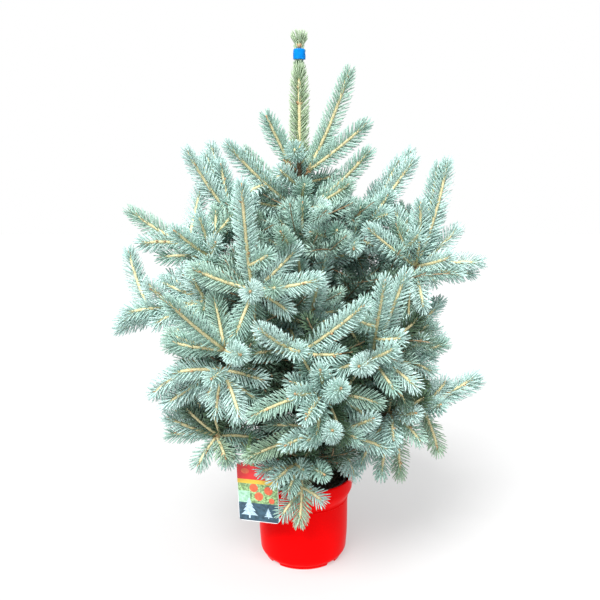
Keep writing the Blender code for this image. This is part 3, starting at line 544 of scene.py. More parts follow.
# %% More long shoots from the hubs
# Where each of them ends, in metres.
MORE_ENDS = {
    "upper_front": (
        (-0.002, -0.09, 0.781), (0.075, -0.10, 0.690), (-0.040, -0.10, 0.717),
        (0.041, -0.08, 0.748),
    ),
    "right_upper": (
        (0.266, -0.04, 0.848), (0.176, -0.06, 0.765), (0.352, -0.03, 0.625), (0.274, -0.03, 0.762),
        (0.128, -0.10, 0.726),
    ),
    "right_high": (
        (0.125, 0.06, 0.615), (0.100, 0.10, 0.660), (0.092, -0.13, 0.695), (0.142, -0.10, 0.690),
    ),
    "right_middle": (
        (0.245, -0.03, 0.600), (0.290, -0.01, 0.572), (0.294, -0.04, 0.496), (0.275, -0.05, 0.456),
        (0.265, 0.05, 0.470),
    ),
    "right_low": ((0.368, -0.03, 0.414), (0.250, 0.06, 0.300)),
    "left_high": (
        (-0.202, 0.01, 0.870), (-0.204, 0.00, 0.721), (-0.190, 0.05, 0.750), (-0.208, 0.08, 0.721),
        (-0.200, -0.05, 0.704),
    ),
    "upper_left": ((-0.121, -0.06, 0.875),),
    "left_middle": ((-0.286, -0.10, 0.624), (-0.239, -0.11, 0.654), (-0.275, 0.01, 0.520)),
    "left_front": ((-0.260, -0.19, 0.515),),
    "left_low_front": ((-0.268, -0.17, 0.444), (-0.274, -0.16, 0.385), (-0.165, -0.275, 0.475)),
    "left_low": (
        (-0.182, -0.13, 0.275), (-0.146, -0.16, 0.262), (-0.245, 0.02, 0.360),
        (-0.215, 0.03, 0.270),
    ),
    "middle_back_left": ((-0.265, 0.04, 0.450),),
    "middle_back": ((-0.020, 0.25, 0.420), (0.040, 0.24, 0.460)),
    "low_back_left": ((-0.235, 0.06, 0.400), (-0.200, 0.10, 0.260), (-0.070, 0.25, 0.270)),
    "low_back_right": ((0.235, 0.06, 0.380), (0.170, 0.10, 0.270), (0.050, 0.24, 0.280)),
}


def add_long_shoots(ends_by_hub, rng, colours=None):
    """One shoot from each hub to every end listed for it."""
    for name, ends in ends_by_hub.items():
        hub = limbs[name].hub
        for end in ends:
            away = Vector(end) - hub
            colour = rng.choice(colours) if colours else "blue"
            leads[name].append(Shoot(hub, away.normalized(), away.length, rng, colour))
    print(sum(len(ends) for ends in ends_by_hub.values()), "more long shoots")


add_long_shoots(MORE_ENDS, random.Random(41))

# %% [markdown]
# ## Finer twigs
# A solid can only afford the leading shoots. On the real plant every bough is also clothed inside: short
# older twigs stand along it and along the trunk, hold darker needles, and close the crown so that hardly
# any trunk shows. Their dark colour is partly the old needles' own and partly painted shade of the crown's
# inside. They grow here by the same rule as the source's side twigs: a seeded try at a place, kept only if
# it has room, so twigs don't run through each other, the pot or the label.

# %% What is in the way
POT_RIM_RADIUS = 0.1065
POT_HEIGHT = 0.185
CARD_SIZE = (0.086, 0.0012, 0.124)
CARD_CENTRE = (-0.0915, -0.1341, 0.1980)
CARD_ROLL = -2  # degrees
CARD_TURN = -17
TWIG_CLEAR = 0.006  # of the pot and the card
TESTED_AT = (0.45, 0.7, 1.0)  # the places on a new twig that need room


def card_matrix():
    roll = Matrix.Rotation(math.radians(CARD_ROLL), 4, "Y")
    turn = Matrix.Rotation(math.radians(CARD_TURN), 4, "Z")
    return Matrix.Translation(CARD_CENTRE) @ turn @ roll


to_card = np.array(card_matrix().inverted())


def outside_things(points):
    """How far each point is outside the pot and the label; negative inside them."""
    points = np.asarray(points, float)
    pot = np.maximum(np.hypot(points[:, 0], points[:, 1]) - POT_RIM_RADIUS, points[:, 2] - POT_HEIGHT)
    local = points @ to_card[:3, :3].T + to_card[:3, 3]
    card = (np.abs(local) - np.array(CARD_SIZE) / 2).max(axis=1)
    return np.minimum(pot, card)


class Room:
    """Remembers every core, and says how much room a new twig would have."""

    def __init__(self):
        self.ends = np.empty((0, 6))

    def add(self, path, steps=5):
        points = np.array([path(i / steps) for i in range(steps + 1)])
        self.ends = np.concatenate([self.ends, np.hstack([points[:-1], points[1:]])])

    def clearance(self, points):
        a, ab = self.ends[:, :3], self.ends[:, 3:] - self.ends[:, :3]
        square = np.maximum((ab**2).sum(axis=1), 1e-12)
        t = np.clip(np.einsum("psk,sk->ps", points[:, None] - a, ab) / square, 0, 1)
        return np.linalg.norm(points[:, None] - a - ab * t[..., None], axis=2).min(axis=1)

    def fits(self, shoot, room):
        outer = np.array([shoot.at(t) for t in TESTED_AT])
        return self.clearance(outer).min() > room and outside_things(outer).min() > TWIG_CLEAR


room = Room()
for limb in limbs.values():
    room.add(limb.at)
for row in leads.values():
    for shoot in row:
        room.add(shoot.at)
print(len(room.ends), "stretches of core")

# %% How far the crown reaches
HULL_STEP = 0.05
TOP_FROM = 0.78  # above this height the crown is a few long shoots with sky between them
TOP_SHARE = 0.4
# Sky also shows through the crown's edge round these places: (place, radius) in metres.
SKY_GAPS = (
    ((-0.241, -0.100, 0.752), 0.04), ((0.207, -0.056, 0.777), 0.03), ((-0.080, 0.060, 0.836), 0.06),
    ((-0.223, -0.075, 0.284), 0.03), ((0.127, 0.100, 0.784), 0.05), ((0.135, 0.200, 0.780), 0.05),
    ((-0.246, -0.080, 0.760), 0.05), ((-0.265, -0.017, 0.769), 0.04), ((-0.282, -0.050, 0.645), 0.05),
    ((0.272, -0.020, 0.587), 0.03), ((0.270, -0.030, 0.545), 0.025),
)


def crown_reach():
    """The furthest that a leading shoot gets from the trunk, for each band of height."""
    reach = {}
    for row in leads.values():
        for shoot in row:
            for t in np.linspace(0, 1, 8):
                p = shoot.at(t)
                band = int(p.z / HULL_STEP)
                reach[band] = max(reach.get(band, 0), math.hypot(p.x, p.y))
    return reach


reach_at = crown_reach()
print("the crown reaches", round(max(reach_at.values()), 3), "m from its axis")


def inside_crown(point, share):
    """Whether a point is within a share of the crown's reach at its height, and in no gap."""
    if any((point - Vector(place)).length < radius for place, radius in SKY_GAPS):
        return False
    if point.z > TOP_FROM:
        share *= TOP_SHARE
    return math.hypot(point.x, point.y) < reach_at.get(int(point.z / HULL_STEP), 0) * share


# %% Side twigs and inner twigs
TWIG_SEED = 5
TWIG_ANGLES = (38, 62)  # degrees between a twig and what it stands on
TWIG_ROLL = 35  # degrees, either way
# Dark needle colours for the crown's inside: older green and painted shade.
OLD_AND_SHADED_COLOURS = ("inner", "deep_green")


def side_heading(along, angle, roll, lift):
    """A heading that leaves along at an angle, rolled about it, and lifted a little."""
    across = along.cross(UP)
    across = across.normalized() if across.length > STEEP else Vector((1, 0, 0))
    other = across.cross(along)
    side = across * math.cos(roll) + other * math.sin(roll)
    return (along * math.cos(angle) + side * math.sin(angle) + UP * lift).normalized()


def grow_twigs(parents, places, lengths, room_needed, colours, rng, lift=0.0, share=0.9):
    """Tries one twig on each parent path at each place, to alternate hands. Its tip stays within a share
    of the crown's reach."""
    grown = []
    for path, heading_at in parents:
        hand = rng.choice((-1, 1))
        for place in places:
            hand = -hand
            roll = math.radians(rng.uniform(-TWIG_ROLL, TWIG_ROLL)) + (0 if hand > 0 else math.pi)
            heading = side_heading(heading_at(place), math.radians(rng.uniform(*TWIG_ANGLES)), roll, lift)
            twig = Shoot(path(place), heading, rng.uniform(*lengths), rng, rng.choice(colours))
            if room.fits(twig, room_needed) and inside_crown(twig.at(1), share):
                grown.append(twig)
                room.add(twig.at)
    return grown


def limb_heading(limb):
    return lambda t: (limb.at(min(t + 0.05, 0.999)) - limb.at(t - 0.05)).normalized()


rng = random.Random(TWIG_SEED)
bough_paths = [(limb.at, limb_heading(limb)) for limb in limbs.values()]
lead_paths = [(shoot.at, shoot.heading_at) for row in leads.values() for shoot in row if shoot.length > 0.1]
side_twigs = grow_twigs(
    lead_paths, places=(0.22, 0.4), lengths=(0.045, 0.065), room_needed=0.02,
    colours=("blue", "steel", "sea_green"), rng=rng, share=0.8,
)
inner_twigs = grow_twigs(
    bough_paths, places=(0.94, 0.8, 0.7, 0.6, 0.5, 0.4, 0.3, 0.2), lengths=(0.08, 0.13), room_needed=0.013,
    colours=OLD_AND_SHADED_COLOURS, rng=rng, lift=0.15, share=0.72,
)
print(len(side_twigs), "side twigs,", len(inner_twigs), "inner twigs")

# %% Fans of twigs round the hubs
FAN_TOP = 0.80
FAN_OUTWARD = 0.7  # how much more often they point away from the trunk
YOUNG_COLOURS = ("silver", "blue", "blue", "steel", "sea_green")
# Fans whose hub is below DIM_BELOW get these darker colours: painted shade of the lower crown.
DIM_COLOURS = ("deep_green", "steel", "inner", "deep_green")
DIM_BELOW = 0.5


def hub_fans(tries, lengths, room_needed, share, rng):
    """More shoots round every hub, wherever the leading ones leave room."""
    grown = []
    for limb in limbs.values():
        colours = YOUNG_COLOURS if limb.hub.z > DIM_BELOW else DIM_COLOURS
        outward = (limb.hub - trunk_centre(limb.hub.z) + UP * 0.02).normalized()
        for _ in range(tries):
            heading = Vector([rng.gauss(0, 1) for _ in range(3)]).normalized() + outward * FAN_OUTWARD
            twig = Shoot(limb.hub, heading.normalized(), rng.uniform(*lengths), rng, rng.choice(colours))
            if room.fits(twig, room_needed) and inside_crown(twig.at(1), share) and twig.at(1).z < FAN_TOP:
                grown.append(twig)
                room.add(twig.at)
    return grown


side_twigs += hub_fans(tries=30, lengths=(0.07, 0.12), room_needed=0.017, share=0.76, rng=rng)
print(len(side_twigs), "side twigs with the fans")

# %% Twigs that stand on the trunk itself
GOLDEN = math.pi * (3 - math.sqrt(5))
INNER_ROOM = 0.011
TRUNK_TWIG_RISE = (8, 40)  # degrees
TRUNK_TWIG_TOP = FAN_TOP + 0.09
LONGEST_TRUNK_TWIG = 0.2
# Above LIT_ABOVE inner twigs get lighter colours where the thin crown lets light in; their darker colours
# below are painted shade.
LIT_ABOVE = 0.6  # the crown is thin enough up there for its inner twigs to stay blue
LIT_COLOURS = ("steel", "steel", "sea_green", "inner")


def trunk_twigs(low, high, step, share, colours, rng):
    """Twigs a golden turn apart up the trunk, each as long as a share of the crown's reach there."""
    grown = []
    for i in range(int((high - low) / step)):
        height = low + step * i
        turn = math.degrees(GOLDEN * i)
        heading = direction(turn, rng.uniform(*TRUNK_TWIG_RISE))
        base = trunk_centre(height) + heading * trunk_radius(height) * 0.8
        reach = reach_at.get(int(height / HULL_STEP), 0)
        twig = Shoot(base, heading, min(LONGEST_TRUNK_TWIG, reach * share), rng, rng.choice(colours))
        if room.fits(twig, INNER_ROOM) and twig.at(1).z < TRUNK_TWIG_TOP:
            grown.append(twig)
            room.add(twig.at)
    return grown


def below_top(twigs):
    return [twig for twig in twigs if twig.at(1).z < TOP_FROM]


inner_twigs += grow_twigs(
    bough_paths, places=(0.9, 0.85, 0.75, 0.65, 0.55, 0.45), lengths=(0.09, 0.13), room_needed=INNER_ROOM,
    colours=OLD_AND_SHADED_COLOURS, rng=rng, lift=0.1, share=0.78,
)
inner_twigs = below_top(inner_twigs)
# Each pass goes from one height to another in steps, and fills the room that the last one left.
inner_twigs += trunk_twigs(low=0.25, high=0.74, step=0.007, share=0.5, colours=OLD_AND_SHADED_COLOURS, rng=rng)
# The deep_green passes fill the crown's inside with painted shade.
inner_twigs += trunk_twigs(low=0.24, high=0.56, step=0.007, share=0.75, colours=("deep_green",), rng=rng)
inner_twigs += trunk_twigs(low=0.22, high=0.34, step=0.006, share=0.8, colours=("deep_green",), rng=rng)
inner_twigs += below_top(
    trunk_twigs(low=0.56, high=0.74, step=0.007, share=0.66, colours=("deep_green", "inner"), rng=rng)
)
side_twigs += trunk_twigs(low=0.74, high=0.88, step=0.008, share=0.24, colours=YOUNG_COLOURS, rng=rng)
inner_twigs += grow_twigs(
    [(twig.at, twig.heading_at) for twig in inner_twigs], places=(0.35, 0.65), lengths=(0.05, 0.08),
    room_needed=INNER_ROOM, colours=OLD_AND_SHADED_COLOURS, rng=rng, share=0.8,
)
for twig in inner_twigs:
    if twig.at(1).z > LIT_ABOVE:
        twig.colour = rng.choice(LIT_COLOURS)
print(len(inner_twigs), "inner twigs with those on the trunk")

# %% [markdown]
# ### Which spray has which colour
# Outer shoots are young and blue; some catch more wax and look silver. The lowest ones sit in the shade,
# so they are dealt a darker, greener deck with no silver, which is painted shade, and here and there a spray
# has kept green. The deal is seeded, so it comes out the same every time.

# %% Dealing the colours
SHADED_BELOW = 0.33
LIT_DECK = ["silver"] * 6 + ["blue"] * 8 + ["steel"] + ["sea_green"] * 3
# Shoots ending below SHADED_BELOW draw from this darker deck: painted shade.
SHADED_DECK = ["blue"] * 3 + ["steel"] * 2 + ["sea_green"] * 2 + ["pale_green"] * 2
rng = random.Random(11)
for row in leads.values():
    for shoot in row:
        shoot.colour = rng.choice(SHADED_DECK if shoot.at(1).z < SHADED_BELOW else LIT_DECK)
print("dealt to", sum(len(row) for row in leads.values()), "long shoots")

# %% Long shoots that close the last gaps
# They come after the twigs and the deal, so that neither changes.
LAST_ENDS = {
    "right_high": ((0.190, -0.04, 0.858), (0.218, -0.06, 0.860)),
    "right_upper": ((0.187, -0.02, 0.769), (0.211, 0.02, 0.759)),
    "top_left": ((-0.047, -0.03, 0.856),),
    "upper_right": ((0.091, -0.04, 0.790),),
    "front_lower": ((0.088, -0.10, 0.227), (0.107, -0.12, 0.221)),
    "low_back_left": ((-0.106, -0.01, 0.292),),
}
add_long_shoots(LAST_ENDS, random.Random(42), colours=("silver", "blue", "blue", "sea_green"))

# %% [markdown]
# ## One needle, one bud, one twig
# What repeats is modelled once. A needle is an open tube of three sides. The ring at each end is extruded
# and merged to a point, so it is a closed spindle of few faces, and its middle stands off to one side so
# that it curves. A bud is a small ball drawn out to an egg. A twig is a cylinder cut into rings, which are
# laid along a shoot's path later.

# %% Helpers for modelling
def select_only(*objects):
    """Selects these objects alone. The first of them is the active one."""
    bpy.ops.object.select_all(action="DESELECT")
    for obj in objects:
        obj.select_set(True)
    bpy.context.view_layer.objects.active = objects[0]


def begin(add, **settings):
    """Adds a primitive with nothing else selected, and opens it in edit mode."""
    bpy.ops.object.select_all(action="DESELECT")
    add(**settings)
    bpy.ops.object.mode_set(mode="EDIT")
    return bpy.context.object


def pick(obj, test):
    """Selects the vertices whose place passes a test."""
    shape = bmesh.from_edit_mesh(obj.data)
    for vertex in shape.verts:
        vertex.select = bool(test(vertex.co))
    shape.select_flush_mode()
    shape.select_flush(True)
    bmesh.update_edit_mesh(obj.data)


def take_shape(obj):
    """The modelled shape as arrays of corners and triangles; the object itself is done with."""
    bpy.ops.object.mode_set(mode="OBJECT")
    obj.data.calc_loop_triangles()
    corners = np.array([obj.matrix_world @ v.co for v in obj.data.vertices])
    triangles = np.array([t.vertices[:] for t in obj.data.loop_triangles])
    bpy.data.objects.remove(obj, do_unlink=True)
    return corners, triangles


# %% The needle
def model_needle(root_end, tip_start, bend):
    """A three-sided spindle: pointed at its root, even in the middle, and pointed again at its tip."""
    middle = tip_start - root_end
    needle = begin(
        bpy.ops.mesh.primitive_cylinder_add, vertices=3, radius=1, depth=middle, end_fill_type="NOTHING",
        location=(0, 0, 0),
    )
    bpy.ops.transform.translate(value=(0, bend, root_end + middle / 2))
    for ring, point in ((root_end, 0.0), (tip_start, 1.0)):
        pick(needle, lambda place: abs(place.z - ring) < 1e-4)
        bpy.ops.mesh.extrude_edges_move(TRANSFORM_OT_translate={"value": (0, -bend, point - ring)})
        bpy.ops.mesh.merge(type="CENTER")
    bpy.ops.mesh.select_all(action="SELECT")
    bpy.ops.mesh.normals_make_consistent(inside=False)
    return take_shape(needle)


needle_shape = model_needle(root_end=0.12, tip_start=0.84, bend=-0.4)
old_needle_shape = model_needle(root_end=0.30, tip_start=0.34, bend=-0.7)
print("needle:", len(needle_shape[1]), "faces")

# %% The bud and the twig
def model_bud():
    bud = begin(bpy.ops.mesh.primitive_uv_sphere_add, segments=6, ring_count=5, radius=1, location=(0, 0, 0))
    bpy.ops.transform.resize(value=(1, 1, 1.7))
    pick(bud, lambda place: place.z > 0.5)
    bpy.ops.transform.resize(value=(0.75, 0.75, 1.15))
    return take_shape(bud)


def model_twig(sides=6, rings=8):
    twig = begin(
        bpy.ops.mesh.primitive_cylinder_add, vertices=sides, radius=1, depth=1, end_fill_type="TRIFAN",
        location=(0, 0, 0.5),
    )
    for ring in range(1, rings):
        bpy.ops.mesh.select_all(action="SELECT")
        bpy.ops.mesh.bisect(plane_co=(0, 0, ring / rings), plane_no=(0, 0, 1))
    return take_shape(twig)


bud_shape, twig_shape = model_bud(), model_twig()
print("bud:", len(bud_shape[1]), "faces, twig:", len(twig_shape[1]), "faces")

# %% [markdown]
# ## Setting the needles
# Needles leave a shoot in a spiral, a golden turn apart, which spaces them evenly with no rows. They lean
# forward, and close up towards the tip round the bud. On the side that faces up, out and to the light they
# part, and the pale stem shows between them. An array of small matrices holds every needle's place, turn
# and size, and one joined mesh is made from it: tens of thousands of separate objects would be far too
# slow. Each joined piece stays under 200,000 triangles.

# %% Frames along a shoot
def path_frames(shoot, ts):
    """Places, tangents and two side directions at each t, as arrays."""
    base, heading, bow = (np.array(v) for v in (shoot.base, shoot.heading, shoot.bow))
    t = ts[:, None]
    places = base + (heading * t + bow * 4 * t * (1 - t)) * shoot.length
    along = heading + bow * 4 * (1 - 2 * t)
    along /= np.linalg.norm(along, axis=1)[:, None]
    side = np.cross(along, np.array((0.13, 0.21, 1.0)))
    side /= np.linalg.norm(side, axis=1)[:, None]
    return places, along, side, np.cross(along, side)


# %% Needles of one shoot
NEEDLES_PER_METRE = 1500
OLD_NEEDLES_PER_METRE = 950
NEEDLE_WIDTH = 0.0012  # half a needle's thickness
PARTING = 0.71  # needles that point this much outwards leave the stem bare
KEPT_IN_PARTING = 0.18
NEEDLE_LEAN = 36
TIP_LEAN = 32
TIP_SETBACK = 0.012  # a shoot's wood ends this far short of its needles
NEEDLE_LIFT = 0.08  # how much the needles of a level shoot turn up
FOOT_RUN = 0.03  # a shoot's needles reach their full length this far from its foot
CLOSED_UP = 0.3  # past this share of the closing up at the tip there is no parting
FACING_UP = 0.45  # the share of the parted side that faces up
LIT_SIDE = (0, -0.8, 0)  # the plant grew with its front to the light
LIT_TO = 0.1  # no light from the front reaches shoots further back than this
LENGTH_SPREAD = (0.94, 1.03)  # shares of a needle's length and width, dealt at random
WIDTH_SPREAD = (0.9, 1.08)
PLACE_JITTER = 0.2  # of the gap between two needles, either way
SPIRAL_JITTER = 0.05  # radians
TIP_SHORTENING = 0.3


def outer_side(places, along):
    """The side of a shoot that faces away from the trunk, up and to the light, square to the shoot."""
    away = places * (1, 1, 0)
    away /= np.maximum(np.linalg.norm(away, axis=1), 0.02)[:, None]
    lit = np.clip(1 - places[:, 1] / LIT_TO, 0, 1)[:, None]
    away = away * (1 - 0.5 * lit) + lit * LIT_SIDE + (0, 0, FACING_UP)
    away -= along * (away * along).sum(axis=1)[:, None]
    return away / np.maximum(np.linalg.norm(away, axis=1), 0.3)[:, None]


def needles_on(
    shoot, per_metre, length, lean=NEEDLE_LEAN, start=0.004, scatter=2.0, foot=0.55, open_side=None,
):
    """One matrix for each needle of a shoot, in an array. lean and scatter are in degrees, and foot is the
    share of its full length that the first needle has."""
    count = int(per_metre * (shoot.length - start))
    if count < 3:
        return np.empty((0, 3, 4))
    seeded = np.random.default_rng(int(shoot.phase * 1e6))
    ts = np.linspace(start / shoot.length, 1, count)
    ts = ts + seeded.uniform(-PLACE_JITTER, PLACE_JITTER, count) / count
    places, along, side, other = path_frames(shoot, ts)
    turn = shoot.phase + np.arange(count) * GOLDEN + seeded.normal(0, SPIRAL_JITTER, count)
    outward = side * np.cos(turn)[:, None] + other * np.sin(turn)[:, None]
    close_up = np.clip(ts, 0, 1) ** 7
    angle = np.radians(lean + TIP_LEAN * close_up + seeded.normal(0, scatter, count))[:, None]
    reach = outward * np.cos(angle) + along * np.sin(angle)
    reach[:, 2] += NEEDLE_LIFT * (1 - along[:, 2] ** 2)
    reach /= np.linalg.norm(reach, axis=1)[:, None]
    grown = np.clip(ts * shoot.length / FOOT_RUN, foot, 1)
    sizes = length * grown * (1 - TIP_SHORTENING * close_up) * seeded.uniform(*LENGTH_SPREAD, count)
    width = seeded.uniform(*WIDTH_SPREAD, count)[:, None] * NEEDLE_WIDTH
    x_axis = np.cross(along, reach)
    x_axis /= np.linalg.norm(x_axis, axis=1)[:, None]
    y_axis = np.cross(reach, x_axis)
    roots = places + outward * TWIG_RADIUS * 0.5
    placed = np.stack([x_axis * width, y_axis * width, reach * sizes[:, None], roots], axis=2)
    if open_side is None:
        facing = (outward * outer_side(roots, along)).sum(axis=1)
    else:
        facing = abs((outward * open_side).sum(axis=1))
    kept = (facing < PARTING) | (close_up > CLOSED_UP) | (seeded.random(count) < KEPT_IN_PARTING)
    return placed[kept]


print("a shoot 0.1 m long holds about", int(NEEDLES_PER_METRE * 0.1), "needles before they part")

# %% Joined meshes from arrays
LARGEST_PIECE = 195_000  # triangles


def mesh_piece(name, corners, triangles, material):
    """One object from arrays of corners and triangles, riding on the plant's only body."""
    mesh = bpy.data.meshes.new(name)
    mesh.vertices.add(len(corners))
    mesh.vertices.foreach_set("co", corners.ravel())
    mesh.loops.add(triangles.size)
    mesh.loops.foreach_set("vertex_index", triangles.ravel().astype(np.int32))
    mesh.polygons.add(len(triangles))
    mesh.polygons.foreach_set("loop_start", np.arange(0, triangles.size, 3, dtype=np.int32))
    mesh.update(calc_edges=True)
    mesh.materials.append(material)
    mesh.shade_smooth()
    obj = bpy.data.objects.new(name, mesh)
    bpy.context.scene.collection.objects.link(obj)
    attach(obj, "root")
    return obj


def repeated(triangles, corner_count, times):
    """A shape's triangles, once for each of its copies."""
    return (triangles[None] + np.arange(times)[:, None, None] * corner_count).reshape(-1, 3)


def strew(name, shape, places, material):
    """Joined copies of a shape at every place, cut into pieces that are not too large."""
    corners, triangles = shape
    most = LARGEST_PIECE // len(triangles)
    made = []
    for part, first in enumerate(range(0, len(places), most)):
        chunk = places[first:first + most]
        points = np.einsum("nij,vj->nvi", chunk[:, :, :3], corners) + chunk[:, None, :, 3]
        joined = repeated(triangles, len(corners), len(chunk))
        made.append(mesh_piece(f"{name}_{part + 1}", points.reshape(-1, 3), joined, material))
    return made


# %% Needles on every shoot
OLD_SHARE = 0.92  # of the length of a young needle
OLD_SCATTER = 6  # degrees


def inset(shoot, by):
    """The same shoot with its wood ending sooner."""
    shoot.length = max(shoot.length - by, 0.02)
    return shoot


needle_places = {name: [] for name in NEEDLE_COLOURS}
old_needle_places = {name: [] for name in NEEDLE_COLOURS}
outer_shoots = [inset(shoot, TIP_SETBACK) for row in leads.values() for shoot in row]
for shoot in outer_shoots + side_twigs:
    needle_places[shoot.colour].append(needles_on(shoot, NEEDLES_PER_METRE, NEEDLE))
for shoot in inner_twigs:
    row = needles_on(shoot, OLD_NEEDLES_PER_METRE, NEEDLE * OLD_SHARE, scatter=OLD_SCATTER)
    old_needle_places[shoot.colour].append(row)
print("needles on", len(outer_shoots) + len(side_twigs), "young shoots and", len(inner_twigs), "old ones")

# %% [markdown]
# ### Old needles on the boughs, and the leader
# The outer part of each bough still holds needles from earlier years, darker and shorter; their dark colour
# is also painted shade of the crown's inside. The leader is different again: a thick straight stem whose
# needles press close to it, greener than the rest. They part in front and behind, so that the stem shows,
# and the tape ties some of them down.

# %% Bough and leader needles
BARE_SHARE = 0.3  # of a bough, from the trunk outwards
LEADER_LEAN = 45
BOUND_LEAN = 72  # of the needles that the tape ties down
TUFT_LEAN = 55  # of those above it
LEADER_NEEDLES_PER_METRE = 3000
LEADER_SHARE = 0.98  # of the length of a young needle
LEADER_OPEN_SIDE = (0.1, -1, 0)
TUFT_CROWDING = 1.7
TOP_CROWDING = 1.6  # on the top of the trunk itself
BOUGH_SHARE = 0.85
NEEDLED_FROM = 0.77  # height from which the trunk itself still holds needles
BAND_BOTTOM = 1.046
BAND_HEIGHT = 0.019
BAND_RADIUS = 0.0125
BAND_PULL = 0.012  # needles are tied down from this far under the band


def straight_run(start, end, rng, colour):
    """A shoot from start to end with no bow."""
    shoot = Shoot(start, (end - start).normalized(), (end - start).length, rng, colour)
    shoot.bow = Vector()
    return shoot


rng = random.Random(21)
# These bough needles get the dark inner colour: older green and painted shade.
for limb in limbs.values():
    if not limb.is_bough:
        continue
    stops = [blend(BARE_SHARE, 1, i / 4) for i in range(5)]
    for low, high in zip(stops, stops[1:]):
        run = straight_run(limb.at(low), limb.at(high), rng, "inner")
        row = needles_on(run, OLD_NEEDLES_PER_METRE, NEEDLE * BOUGH_SHARE, start=0)
        old_needle_places["inner"].append(row)

leader_foot = trunk_centre(TRUNK_TOP)
run = straight_run(trunk_centre(NEEDLED_FROM), leader_foot, rng, "blue")
needle_places["blue"].append(needles_on(run, NEEDLES_PER_METRE * TOP_CROWDING, NEEDLE, start=0, foot=1))
leader = straight_run(leader_foot, leader_foot + UP * (LEADER_LENGTH - TIP_SETBACK - 0.006), rng, "leader")
leader_rng = random.Random(22)
bound_from, bound_to = BAND_BOTTOM - BAND_PULL, BAND_BOTTOM + BAND_HEIGHT
leader_tip = leader.at(1).z
leader_runs = (
    (leader_foot.z, bound_from, LEADER_LEAN, 1.0), (bound_from, bound_to, BOUND_LEAN, 1.0),
    (bound_to, leader_tip, TUFT_LEAN, TUFT_CROWDING),
)
for low, high, lean, crowding in leader_runs:
    ends = [leader_foot + UP * (height - leader_foot.z) for height in (low, high)]
    run = straight_run(*ends, leader_rng, "leader")
    needle_places["leader"].append(needles_on(
        run, LEADER_NEEDLES_PER_METRE * crowding, NEEDLE * LEADER_SHARE, lean=lean, start=0, scatter=4,
        foot=1, open_side=LEADER_OPEN_SIDE,
    ))
print("the leader's needles run from", round(leader_foot.z, 3), "to", round(leader_tip, 3), "m")

# %% Laying out the needles
foliage = []
for prefix, shape, dealt in (
    ("needles_", needle_shape, needle_places), ("old_", old_needle_shape, old_needle_places),
):
    for colour, rows in dealt.items():
        rows = [row for row in rows if len(row)]
        if rows:
            places = np.concatenate(rows)
            foliage += strew(prefix + colour, shape, places, needle_finish[colour])
print([(piece.name, len(piece.data.polygons)) for piece in foliage])
print(sum(len(piece.data.polygons) for piece in foliage), "triangles of needles")

# %% [markdown]
# ### Wood of the shoots, and buds
# The same twig is bent along every shoot: each corner's height says how far along it lies, and its place
# across is turned into the path's own frame. Young wood is cream, older wood brown. Every shoot ends in a
# brown bud, and a few smaller buds sit behind it and round the hubs, where last year's scales remain.

# %% Twigs laid along their shoots
def laid_twig(shoot, foot_radius, tip_radius):
    """The twig's corners, bent along a shoot."""
    corners = twig_shape[0]
    places, _, side, other = path_frames(shoot, np.clip(corners[:, 2], 0, 1))
    radius = (foot_radius + (tip_radius - foot_radius) * corners[:, 2])[:, None]
    return places + (side * corners[:, :1] + other * corners[:, 1:2]) * radius


def lay_twigs(name, shoots, foot_radius, tip_radius, material, slot):
    """One joined piece with a twig along each shoot."""
    corners = np.concatenate([laid_twig(shoot, foot_radius, tip_radius) for shoot in shoots])
    triangles = repeated(twig_shape[1], len(twig_shape[0]), len(shoots))
    return mesh_piece(name, corners, triangles, material)


OLD_TWIG_RADII = (0.0016, 0.0010)  # at the foot and at the tip
LEADER_RADII = (0.0046, 0.0030)
mass_nodes = [node for node in record_nodes if node.startswith("shoots_")]
young_wood = lay_twigs(
    "young_twigs", outer_shoots + side_twigs, TWIG_RADIUS, TWIG_TIP_RADIUS, cream_twig, "needles",
)
old_wood = lay_twigs("old_twigs", inner_twigs, *OLD_TWIG_RADII, brown_twig, "needles")
leader_wood = lay_twigs("leader_stem", [leader], *LEADER_RADII, cream_twig, "needles")
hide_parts(*mass_nodes)
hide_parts("shoot_leader")
print("wood:", [(piece.name, len(piece.data.polygons)) for piece in (young_wood, old_wood, leader_wood)])

# %% Buds
BUDDING_RADIUS = 0.0042  # of the leader's stem, where its buds sit
HUB_SCALES = 7
TIP_BUD = 0.0030  # the radius of the bud at a shoot's end
# Buds behind it, as (share of shoots that have one, metres back from the end, radius).
BACK_BUDS = ((0.6, 0.009, 0.0026), (0.4, 0.028, 0.0024))
# One about halfway, on the longer shoots: share of them, where along the shoot, radius.
HALFWAY_CHANCE, HALFWAY_PLACES, HALFWAY_BUD = 0.5, (0.35, 0.65), 0.0024
LONG_ENOUGH = 0.08
ANY_TURN = (0, 6.3)  # radians
# Whorls of buds round the leader, as (height, how many, radius).
BUD_RINGS = ((1.071, 6, 0.0034), (0.963, 3, 0.0028), (0.868, 5, 0.0030))


def bud_at(root, axis, across, size):
    """The matrix of one bud that points along an axis."""
    axis = axis / np.linalg.norm(axis)
    x_axis = np.cross(axis, across)
    x_axis /= np.linalg.norm(x_axis)
    return np.stack([x_axis * size, np.cross(axis, x_axis) * size, axis * size, root], axis=1)[None]


